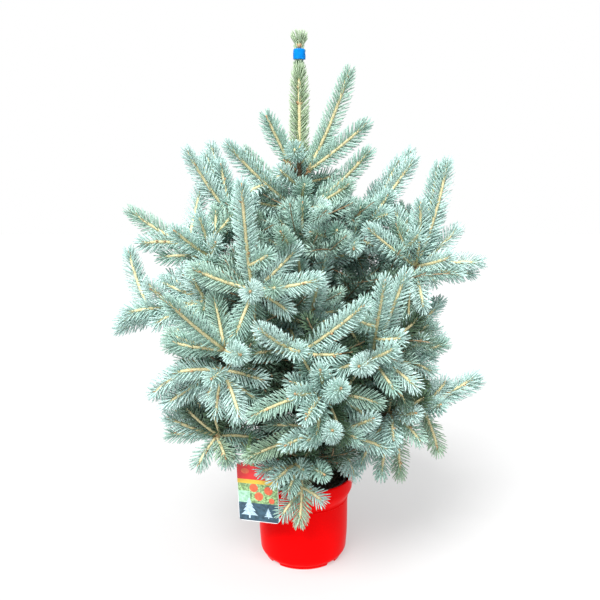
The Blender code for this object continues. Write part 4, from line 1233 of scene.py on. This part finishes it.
def bud_places(shoot, rng):
    """One bud at the shoot's end, and up to three behind it."""
    spots = [(1.0, 0.0, TIP_BUD)]
    for chance, back, size in BACK_BUDS:
        if rng.random() < chance:
            spots.append((1 - back / shoot.length, rng.uniform(*ANY_TURN), size))
    if rng.random() < HALFWAY_CHANCE and shoot.length > LONG_ENOUGH:
        spots.append((rng.uniform(*HALFWAY_PLACES), rng.uniform(*ANY_TURN), HALFWAY_BUD))
    rows = []
    for t, turn, size in spots:
        place, along, side, other = (row[0] for row in path_frames(shoot, np.array([t])))
        out = side * math.cos(turn) + other * math.sin(turn)
        if t == 1.0:
            rows.append(bud_at(place, along, out, size))
        else:
            rows.append(bud_at(place + out * TWIG_RADIUS, along * 0.7 + out * 0.7, out, size))
    return np.concatenate(rows)


def hub_buds(limb, rng):
    """Old scales round the hub that the shoots leave."""
    rows = []
    centre = np.array(limb.hub + limb.along * STUB)
    for _ in range(HUB_SCALES):
        axis = np.array([rng.gauss(0, 1) for _ in range(3)])
        axis /= np.linalg.norm(axis)
        size = rng.uniform(0.0018, 0.0027)
        rows.append(bud_at(centre + axis * KNOB * 0.6, axis, (0.3, 0.5, 0.8), size))
    return np.concatenate(rows)


def bud_ring(height, count, size, rng):
    """A whorl of buds round the leader at one height."""
    rows = []
    for i in range(count):
        turn = 2 * math.pi * i / count + rng.uniform(-0.3, 0.3)
        out = np.array((math.cos(turn), math.sin(turn), 0.0))
        root = np.array(leader.base) * (1, 1, 0) + (0, 0, height) + out * BUDDING_RADIUS
        rows.append(bud_at(root, out * 0.7 + (0, 0, 0.7), out, size))
    return np.concatenate(rows)


rng = random.Random(31)
bud_rows = [bud_ring(*ring, rng) for ring in BUD_RINGS]
bud_rows += [bud_places(shoot, rng) for shoot in outer_shoots + [leader]]
bud_rows += [hub_buds(limb, rng) for limb in limbs.values()]
buds = strew("buds", bud_shape, np.concatenate(bud_rows), bud_scale)
print(len(buds[0].data.polygons), "faces of buds")

# %% [markdown]
# ## Trunk and boughs
# A limb is a curve with a round bevel: each point of the curve holds its own radius, so the taper is exact.
# It is then made a mesh, and two displace modifiers raise the bark: a coarse one for its plates, and a fine
# one for its scales. The relief stays under a millimetre on the thin boughs.

# %% Limbs with bark
def cloud_texture(name, size):
    texture = bpy.data.textures.new(name, "CLOUDS")
    texture.noise_scale = size
    texture.noise_depth = 2
    return texture


plates, scales = cloud_texture("bark_plates", 0.011), cloud_texture("bark_scales", 0.0035)


def grow_limb(name, points, radii, sides):
    """A tapering limb through the points, as a mesh."""
    bpy.ops.object.select_all(action="DESELECT")
    bpy.ops.curve.primitive_nurbs_path_add(location=(0, 0, 0))
    curve = bpy.context.object
    curve.name = name
    curve.data.splines.clear()
    line = curve.data.splines.new("POLY")
    line.points.add(len(points) - 1)
    for point, place, radius in zip(line.points, points, radii):
        point.co = (*place, 1)
        point.radius = radius
    curve.data.bevel_depth = 1
    curve.data.bevel_resolution = sides // 4 - 1
    curve.data.use_fill_caps = True
    curve.data.dimensions = "3D"
    bpy.ops.object.convert(target="MESH")
    return bpy.context.object


def raise_relief(obj, texture, height):
    """Pushes the surface in and out by a texture, height from its lowest to its highest."""
    relief = obj.modifiers.new("relief", "DISPLACE")
    relief.texture = texture
    relief.texture_coords = "LOCAL"
    relief.strength = height
    relief.mid_level = 0.5
    select_only(obj)
    bpy.ops.object.modifier_apply(modifier="relief")


def dress(obj, material, slot, *nodes):
    """A modelled piece's finish, its slot (not used), the node it stands for and the body it rides on."""
    obj.data.materials.clear()
    obj.data.materials.append(material)
    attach(obj, "root")
    if nodes:
        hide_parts(*nodes)
    return obj


# %% The trunk
FLARE_STEPS = 12
TRUNK_STEPS = 230
flare_top = TRUNK_FOOT + ROOT_FLARE_HEIGHT
heights = [TRUNK_FOOT + ROOT_FLARE_HEIGHT * i / FLARE_STEPS for i in range(FLARE_STEPS)]
heights += [blend(flare_top, TRUNK_TOP, i / TRUNK_STEPS) for i in range(TRUNK_STEPS + 1)]
points, radii = [trunk_centre(height) for height in heights], [trunk_radius(height) for height in heights]
trunk = grow_limb("trunk_bark", points, radii, sides=32)
bpy.ops.object.shade_smooth()
raise_relief(trunk, plates, height=0.0030)
raise_relief(trunk, scales, height=0.0012)
dress(trunk, bark, "bark", "trunk")
print("trunk:", len(trunk.data.polygons), "faces")

# %% The boughs
BOUGH_STEPS = 60
pieces = []
for limb in limbs.values():
    steps = [i / BOUGH_STEPS for i in range(BOUGH_STEPS + 1)]
    points = [limb.at(t) for t in steps] + [limb.hub + limb.along * STUB]
    radii = [limb.radius(t) for t in steps] + [BOUGH_TIP_RADIUS]
    pieces.append(grow_limb("bough", points, radii, sides=12))
    bpy.ops.object.shade_smooth()
select_only(*pieces)
bpy.ops.object.join()
boughs = bpy.context.object
boughs.name = "bough_bark"
raise_relief(boughs, plates, height=0.0012)
raise_relief(boughs, scales, height=0.0007)
dress(boughs, bark, "bark", *[node for node in record_nodes if node.startswith("bough_")])
print("boughs:", len(boughs.data.polygons), "faces")

# %% [markdown]
# ## The pots and the peat
# A pot is turned: a small disc at the middle of the underside is extruded and resized, ring by ring, up the
# outer side, over the rim and down inside, so the wall has its real thickness everywhere. The notches in
# the foot are cut afterwards by bevelled blocks.

# %% A helper that turns up a pot
START_RADIUS = 0.004


def turn_up(name, outline, segments):
    """A closed body turned up from a small disc: outline is (radius, height) after that disc's middle."""
    first_height = outline[0][1]
    obj = begin(
        bpy.ops.mesh.primitive_circle_add, vertices=segments, radius=START_RADIUS, fill_type="NGON",
        location=(0, 0, 0),
    )
    obj.name = name
    bpy.ops.transform.translate(value=(0, 0, first_height))
    radius, height = START_RADIUS, first_height
    for next_radius, next_height in outline:
        next_radius = max(next_radius, START_RADIUS)
        bpy.ops.mesh.extrude_region_move(TRANSFORM_OT_translate={"value": (0, 0, next_height - height)})
        grow = next_radius / radius
        bpy.ops.transform.resize(value=(grow, grow, 1), center_override=(0, 0, next_height))
        radius, height = next_radius, next_height
    bpy.ops.mesh.select_all(action="SELECT")
    bpy.ops.mesh.normals_make_consistent(inside=False)
    bpy.ops.object.mode_set(mode="OBJECT")
    return obj


def rounded(centre, radius, start, end, count):
    """Points of an arc in (radius, height), angles in degrees."""
    angles = [math.radians(blend(start, end, i / count)) for i in range(count + 1)]
    return [(centre[0] + radius * math.cos(a), centre[1] + radius * math.sin(a)) for a in angles]


# %% The red pot
POT_BODY_RADIUS = 0.0965
POT_FOOT_RADIUS = 0.084
POT_BASE_RADIUS = 0.094
POT_WALL = 0.0025
COLLAR_HEIGHT = 0.048
BASE_FILLET = 0.020
FOOT_HEIGHT = 0.007
FOOT_WIDTH = 0.008
PAD_RADIUS = 0.058
RIM_BEAD = 0.0022
STEP_RING = 0.0007  # how proud the faint ring under the collar stands
EDGE = 0.0006  # a small chamfer
collar_foot = POT_HEIGHT - COLLAR_HEIGHT
fillet_middle = (POT_BASE_RADIUS - BASE_FILLET, FOOT_HEIGHT * 0.4 + BASE_FILLET)
foot_inside = POT_FOOT_RADIUS - FOOT_WIDTH
outside = [(PAD_RADIUS - EDGE, 0), (PAD_RADIUS, EDGE), (PAD_RADIUS, FOOT_HEIGHT)]
outside += [(foot_inside, FOOT_HEIGHT), (foot_inside, EDGE), (foot_inside + EDGE, 0)]
outside += [(POT_FOOT_RADIUS - EDGE, 0)]
outside += rounded(fillet_middle, BASE_FILLET, start=-54, end=-8, count=10)
outside += [(POT_BODY_RADIUS - 0.0008, 0.045), (POT_BODY_RADIUS, 0.062), (POT_BODY_RADIUS, 0.095)]
outside += [(POT_BODY_RADIUS, collar_foot - 0.006), (POT_BODY_RADIUS + STEP_RING, collar_foot - 0.0052)]
outside += [(POT_BODY_RADIUS + STEP_RING, collar_foot - 0.0034), (POT_BODY_RADIUS, collar_foot - 0.0022)]
outside += [
    (blend(POT_BODY_RADIUS, POT_RIM_RADIUS, share), collar_foot + up)
    for share, up in ((0.05, 0.002), (0.22, 0.005), (0.50, 0.010), (0.76, 0.015), (0.93, 0.020), (1.0, 0.026))
]
outside += [(POT_RIM_RADIUS, POT_HEIGHT - 0.010)]
outside += rounded((POT_RIM_RADIUS - RIM_BEAD, POT_HEIGHT - RIM_BEAD), RIM_BEAD, start=0, end=180, count=8)
inner_body = POT_BODY_RADIUS - POT_WALL
inner_floor = FOOT_HEIGHT + POT_WALL
inside = [
    (POT_RIM_RADIUS - 2 * RIM_BEAD, collar_foot + 0.020), (inner_body, collar_foot), (inner_body, 0.062),
    (POT_BASE_RADIUS - 0.008, BASE_FILLET + POT_WALL), (POT_BASE_RADIUS - BASE_FILLET, inner_floor),
    (PAD_RADIUS - POT_WALL, inner_floor), (PAD_RADIUS - POT_WALL, POT_WALL), (0, POT_WALL),
]
pot = turn_up("red_pot", outside + inside, segments=128)
print("pot:", len(pot.data.polygons), "faces before its notches")

# %% Notches through its foot
NOTCH_SIZE = (0.034, 0.024, FOOT_HEIGHT * 1.64)  # inwards, round the foot, and half of it up
NOTCH_MIDDLE = 0.089
NOTCH_CORNER = 0.0035
for k in range(4):
    turn = math.radians(45 + 90 * k)
    out = Vector((math.cos(turn), math.sin(turn), 0)) * NOTCH_MIDDLE
    cutter = begin(
        bpy.ops.mesh.primitive_cube_add, size=1, location=out, rotation=(0, 0, turn), scale=NOTCH_SIZE,
    )
    bpy.ops.mesh.bevel(offset=NOTCH_CORNER, segments=4, affect="EDGES")
    bpy.ops.object.mode_set(mode="OBJECT")
    cut = pot.modifiers.new("notch", "BOOLEAN")
    cut.operation, cut.object, cut.solver = "DIFFERENCE", cutter, "EXACT"
    select_only(pot)
    bpy.ops.object.modifier_apply(modifier="notch")
    bpy.data.objects.remove(cutter, do_unlink=True)
bpy.ops.object.shade_smooth_by_angle(angle=math.radians(32))
dress(pot, red_plastic, "red_plastic", "outer_pot")
print("pot:", len(pot.data.polygons), "faces")

# %% The black liner
LINER_WALL = 0.0015
LINER_HEIGHT = 0.176
LINER_CLEARANCE = 0.0035
LINER_TAPER = 0.004
LINER_MIDDLE = 0.070
LIP_HEIGHT = 0.006
LIP_WIDTH = 0.002
liner_floor = inner_floor + SEAT_GAP
liner_top = POT_BODY_RADIUS - POT_WALL - LINER_CLEARANCE
liner_waist = liner_top - LINER_TAPER
liner_base = POT_BASE_RADIUS - BASE_FILLET - 0.002
under_lip = LINER_HEIGHT - LIP_HEIGHT
liner_outline = [(liner_base, liner_floor), (liner_waist, LINER_MIDDLE), (liner_top, under_lip)]
liner_outline += [(liner_top + LIP_WIDTH - 0.0005, under_lip), (liner_top + LIP_WIDTH, under_lip + 0.0005)]
lip_middle = (liner_top + LIP_WIDTH - 0.001, LINER_HEIGHT - 0.001)
liner_outline += rounded(lip_middle, 0.001, start=0, end=90, count=3)
liner_outline += [
    (liner_top - LINER_WALL + 0.0004, LINER_HEIGHT), (liner_top - LINER_WALL, LINER_HEIGHT - 0.0006),
    (liner_waist - LINER_WALL, LINER_MIDDLE), (liner_base - LINER_WALL, liner_floor + LINER_WALL),
    (0, liner_floor + LINER_WALL),
]
liner = turn_up("black_liner", liner_outline, segments=96)
bpy.ops.object.shade_smooth_by_angle(angle=math.radians(35))
dress(liner, black_plastic, "black_plastic", "inner_pot")
print("liner:", len(liner.data.polygons), "faces")

# %% [markdown]
# The peat is turned up the same way with many rings across its top, and a cloud texture makes the lumps.
# Loose crumbs and bark chips, one small lump copied a few hundred times, lie on it.

# %% The peat and its crumbs
PEAT_CLEARANCE = 0.0014
PEAT_RINGS = 26
CRUMBS = 700
CRUMB_SIZES = (0.0012, 0.0034)
CRUMB_TILT = 0.5  # radians, either way
CRUMBS_FROM = TRUNK_FOOT_RADIUS + 0.012  # the ring of peat that they lie on
CRUMBS_SPREAD = 0.057
peat_side = LINER_WALL + PEAT_CLEARANCE
up_the_liner = (PEAT_TOP - LINER_MIDDLE) / (under_lip - LINER_MIDDLE)
peat_top_radius = blend(liner_waist, liner_top, up_the_liner) - peat_side
peat_outline = [
    (liner_base - peat_side, liner_floor + LINER_WALL + SEAT_GAP), (liner_waist - peat_side, LINER_MIDDLE),
    (peat_top_radius - 0.0004, PEAT_TOP - 0.002),
]
peat_outline += [
    (peat_top_radius * (1 - i / PEAT_RINGS) - 0.001, PEAT_TOP - 0.001) for i in range(PEAT_RINGS)
]
peat = turn_up("peat_top", peat_outline, segments=96)
bpy.ops.object.shade_smooth()
raise_relief(peat, cloud_texture("peat_lumps", 0.008), height=0.0022)
dress(peat, peat_crumb, "peat", "potting_peat")


def model_crumb():
    crumb = begin(bpy.ops.mesh.primitive_ico_sphere_add, subdivisions=1, radius=1, location=(0, 0, 0))
    bpy.ops.transform.resize(value=(1, 0.8, 0.55))
    bpy.ops.transform.vertex_random(offset=0.25, seed=3)
    return take_shape(crumb)


def crumb_places(count, rng):
    """Matrices that scatter crumbs on the peat, closer together near the trunk."""
    rows = []
    for _ in range(count):
        turn = rng.uniform(0, 2 * math.pi)
        out = CRUMBS_FROM + rng.random() ** 0.6 * CRUMBS_SPREAD
        size = rng.uniform(*CRUMB_SIZES)
        spin = Matrix.Rotation(rng.uniform(*ANY_TURN), 3, "Z")
        spin = spin @ Matrix.Rotation(rng.uniform(-CRUMB_TILT, CRUMB_TILT), 3, "X")
        place = Vector((out * math.cos(turn), out * math.sin(turn), PEAT_TOP + size * 0.1))
        rows.append(np.hstack([np.array(spin) * size, np.array(place)[:, None]])[None])
    return np.concatenate(rows)


crumbs = strew("peat_crumbs", model_crumb(), crumb_places(CRUMBS, random.Random(41)), peat_crumb)
print("peat:", len(peat.data.polygons), "faces,", CRUMBS, "crumbs")

# %% [markdown]
# ## The tape round the leader
# Growers mark a tree with a turn of coloured tape. It is wound over the needles, so it is a short sleeve,
# a little crumpled. A turned ring with rings along its height is pushed about by a cloud texture.

# %% The tape
BAND_RINGS = 9
band_outline = [(0.0028, 0.0), (BAND_RADIUS - 0.0012, 0.0), (BAND_RADIUS - 0.0004, 0.0004)]
band_outline += [(BAND_RADIUS - 0.0005, BAND_HEIGHT * i / BAND_RINGS) for i in range(1, BAND_RINGS)]
band_outline += [
    (BAND_RADIUS - 0.0012, BAND_HEIGHT), (BAND_RADIUS - 0.004, BAND_HEIGHT - 0.001), (0, BAND_HEIGHT - 0.001),
]
tape = turn_up("tape_band", band_outline, segments=48)
bpy.ops.object.shade_smooth_by_angle(angle=math.radians(50))
raise_relief(tape, cloud_texture("tape_folds", 0.007), height=0.0022)
tape.data.transform(Matrix.Translation((leader_foot.x, leader_foot.y, BAND_BOTTOM)))
dress(tape, blue_tape, "tape", "leader_band")
print("tape:", len(tape.data.polygons), "faces")

# %% [markdown]
# ## The label
# A plant label is a thin printed card on a strap that loops round a shoot. The card is a block cut into
# printed fields by bisecting it, and each field's faces get their own ink: a red head, a yellow rule, a
# picture field of mottled greens, a slate foot and a white border. The shapes on it, a few red discs and
# two plain trees, are thin raised prints. It holds no words.

# %% Inks
# Each ink as its colour, its roughness, its grains to a metre, and its dark and light shares.
INKS = {
    "card_white": ((0.82, 0.84, 0.86), 0.35, 60, 0.97, 1.02),
    "ink_red": ((0.78, 0.03, 0.035), 0.32, 60, 0.93, 1.08),
    "ink_yellow": ((0.86, 0.55, 0.06), 0.32, 90, 0.9, 1.08),
    "ink_leaves": ((0.22, 0.36, 0.16), 0.35, 260, 0.25, 2.1),
    "ink_mint": ((0.36, 0.66, 0.46), 0.35, 200, 0.7, 1.3),
    "ink_slate": ((0.03, 0.075, 0.11), 0.35, 150, 0.6, 1.5),
    "ink_berry": ((0.80, 0.14, 0.06), 0.3, 150, 0.8, 1.2),
    "ink_tree": ((0.45, 0.62, 0.74), 0.35, 220, 0.75, 1.2),
}
inks = {name: finish(name, *row) for name, row in INKS.items()}
INK_NAMES = list(inks)
WIDTH, THICK, HEIGHT = CARD_SIZE
# Each field as (ink, left, right, bottom, top), as shares of the card's width and height.
FIELDS = (
    ("ink_red", -0.5, 0.5, 0.22, 0.5),
    ("ink_yellow", -0.5, 0.5, 0.15, 0.22),
    ("ink_leaves", -0.49, 0.49, -0.18, 0.15),
    ("ink_mint", -0.49, -0.20, -0.18, 0.02),
    ("ink_slate", -0.49, 0.49, -0.49, -0.18),
)
print(len(inks), "inks for", len(FIELDS), "fields")

# %% The card
CARD_CORNER = 0.007
STRAP_WIDTH = 0.008
LOOP_RADIUS = 0.0050
LOOP_HEIGHT = 0.0359  # of the loop's middle above the card
LOOP_TAIL = 0.007


def cut_field_lines():
    across = sorted({value for field in FIELDS for value in field[1:3]})
    up = sorted({value for field in FIELDS for value in field[3:5]})
    for share in across:
        bpy.ops.mesh.select_all(action="SELECT")
        bpy.ops.mesh.bisect(plane_co=(share * WIDTH, 0, 0), plane_no=(1, 0, 0))
    for share in up:
        bpy.ops.mesh.select_all(action="SELECT")
        bpy.ops.mesh.bisect(plane_co=(0, 0, share * HEIGHT), plane_no=(0, 0, 1))


def ink_at(x, z):
    """The ink of the last field that covers a place on the card's front."""
    found = "card_white"
    for ink, left, right, bottom, top in FIELDS:
        if left * WIDTH < x < right * WIDTH and bottom * HEIGHT < z < top * HEIGHT:
            found = ink
    return found


card = begin(bpy.ops.mesh.primitive_cube_add, size=1, location=(0, 0, 0))
card.name = "label_card"
bpy.ops.transform.resize(value=(WIDTH, THICK, HEIGHT))
shape = bmesh.from_edit_mesh(card.data)
for face in shape.faces:
    face.select = False
for edge in shape.edges:
    a, b = (vertex.co for vertex in edge.verts)
    edge.select = abs(a.x - b.x) < 1e-6 and abs(a.z - b.z) < 1e-6
bmesh.update_edit_mesh(card.data)
bpy.ops.mesh.bevel(offset=CARD_CORNER, segments=8, affect="EDGES")
cut_field_lines()
for share in (-1, 1):
    bpy.ops.mesh.select_all(action="SELECT")
    bpy.ops.mesh.bisect(plane_co=(share * STRAP_WIDTH / 2, 0, 0), plane_no=(1, 0, 0))
bpy.ops.mesh.select_all(action="DESELECT")
shape = bmesh.from_edit_mesh(card.data)
for face in shape.faces:
    middle = face.calc_center_median()
    face.select = middle.z > HEIGHT / 2 - 1e-5 and abs(middle.x) < STRAP_WIDTH / 2
bmesh.update_edit_mesh(card.data)
bpy.ops.mesh.extrude_region_move(TRANSFORM_OT_translate={"value": (0, 0, LOOP_HEIGHT)})
bpy.ops.mesh.spin(steps=10, angle=math.pi, center=(0, -LOOP_RADIUS, HEIGHT / 2 + LOOP_HEIGHT), axis=(1, 0, 0))
bpy.ops.mesh.extrude_region_move(TRANSFORM_OT_translate={"value": (0, 0, -LOOP_TAIL)})
bpy.ops.mesh.select_all(action="DESELECT")
bpy.ops.mesh.select_interior_faces()
bpy.ops.mesh.delete(type="FACE")
bpy.ops.mesh.select_all(action="SELECT")
bpy.ops.mesh.normals_make_consistent(inside=False)
if bmesh.from_edit_mesh(card.data).calc_volume(signed=True) < 0:
    bpy.ops.mesh.flip_normals()
bpy.ops.object.mode_set(mode="OBJECT")
to_front = sum(polygon.normal.y < -0.9 for polygon in card.data.polygons)
print("card:", len(card.data.polygons), "faces,", to_front, "to the front")

# %% Inking the card
for ink in INK_NAMES:
    card.data.materials.append(inks[ink])
for polygon in card.data.polygons:
    if polygon.center.z > HEIGHT / 2 + 1e-5:
        polygon.material_index = INK_NAMES.index("ink_leaves")
    elif polygon.normal.y < -0.9:
        polygon.material_index = INK_NAMES.index(ink_at(polygon.center.x, polygon.center.z))
print("card:", len(card.data.materials), "inks on it")

# %% Raised prints: berries and two plain trees
PRINT_DEPTH = 0.00012
PRINT_ROOT = 0.00002  # how far a print reaches into the card
# Each berry as (x, z, width, height) and each tree as (x, z of its foot, half its width, height), as shares.
BERRIES = (
    (-0.30, 0.36, 0.10, 0.045), (0.26, 0.05, 0.105, 0.072), (0.02, -0.06, 0.105, 0.072),
    (-0.10, 0.08, 0.105, 0.072), (0.33, -0.12, 0.07, 0.048),
)
TREES = ((-0.23, -0.45, 0.21, 0.36), (0.24, -0.43, 0.11, 0.18))


def flat_print(outline, ink):
    """A thin raised print on the card's front: outline is (x, z) as shares of the card, anticlockwise."""
    bpy.ops.object.select_all(action="DESELECT")
    bpy.ops.mesh.primitive_circle_add(
        vertices=len(outline), radius=1, fill_type="NGON", rotation=(math.radians(90), 0, 0),
    )
    obj = bpy.context.object
    bpy.ops.object.transform_apply(location=True, rotation=True, scale=True)
    for vertex, (x, z) in zip(obj.data.vertices, outline):
        vertex.co = (x * WIDTH, -THICK / 2 + PRINT_ROOT, z * HEIGHT)
    bpy.ops.object.mode_set(mode="EDIT")
    bpy.ops.mesh.select_all(action="SELECT")
    bpy.ops.mesh.extrude_region_move(TRANSFORM_OT_translate={"value": (0, -PRINT_DEPTH, 0)})
    bpy.ops.mesh.select_all(action="SELECT")
    bpy.ops.mesh.normals_make_consistent(inside=False)
    bpy.ops.object.mode_set(mode="OBJECT")
    obj.data.materials.append(inks[ink])
    return obj


def disc(x, z, wide, high, count=20):
    turns = [2 * math.pi * i / count for i in range(count)]
    return [(x + wide * math.cos(a), z + high * math.sin(a)) for a in turns]


def tree_outline(x, z, wide, high, tiers=4):
    """A plain stepped tree: each tier is wider than the one above it."""
    right = []
    for tier in range(tiers):
        low = high * (1 - (tier + 1) / tiers * 0.86)
        spread = wide * (tier + 1) / tiers
        right += [(spread, low), (spread * 0.55, low + high * 0.02)]
    right += [(wide * 0.1, high * 0.14), (wide * 0.1, 0.0)]
    right_side = [(x + dx, z + dz) for dx, dz in right]
    left_side = [(x - dx, z + dz) for dx, dz in right]
    return right_side[::-1] + [(x, z + high)] + left_side


prints = [flat_print(disc(*berry), "ink_berry") for berry in BERRIES]
prints += [flat_print(tree_outline(*tree), "ink_tree") for tree in TREES]
select_only(card, *prints)
bpy.ops.object.join()
card.data.transform(card_matrix())
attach(card, "root")
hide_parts("plant_label")
print("label:", len(card.data.polygons), "faces")
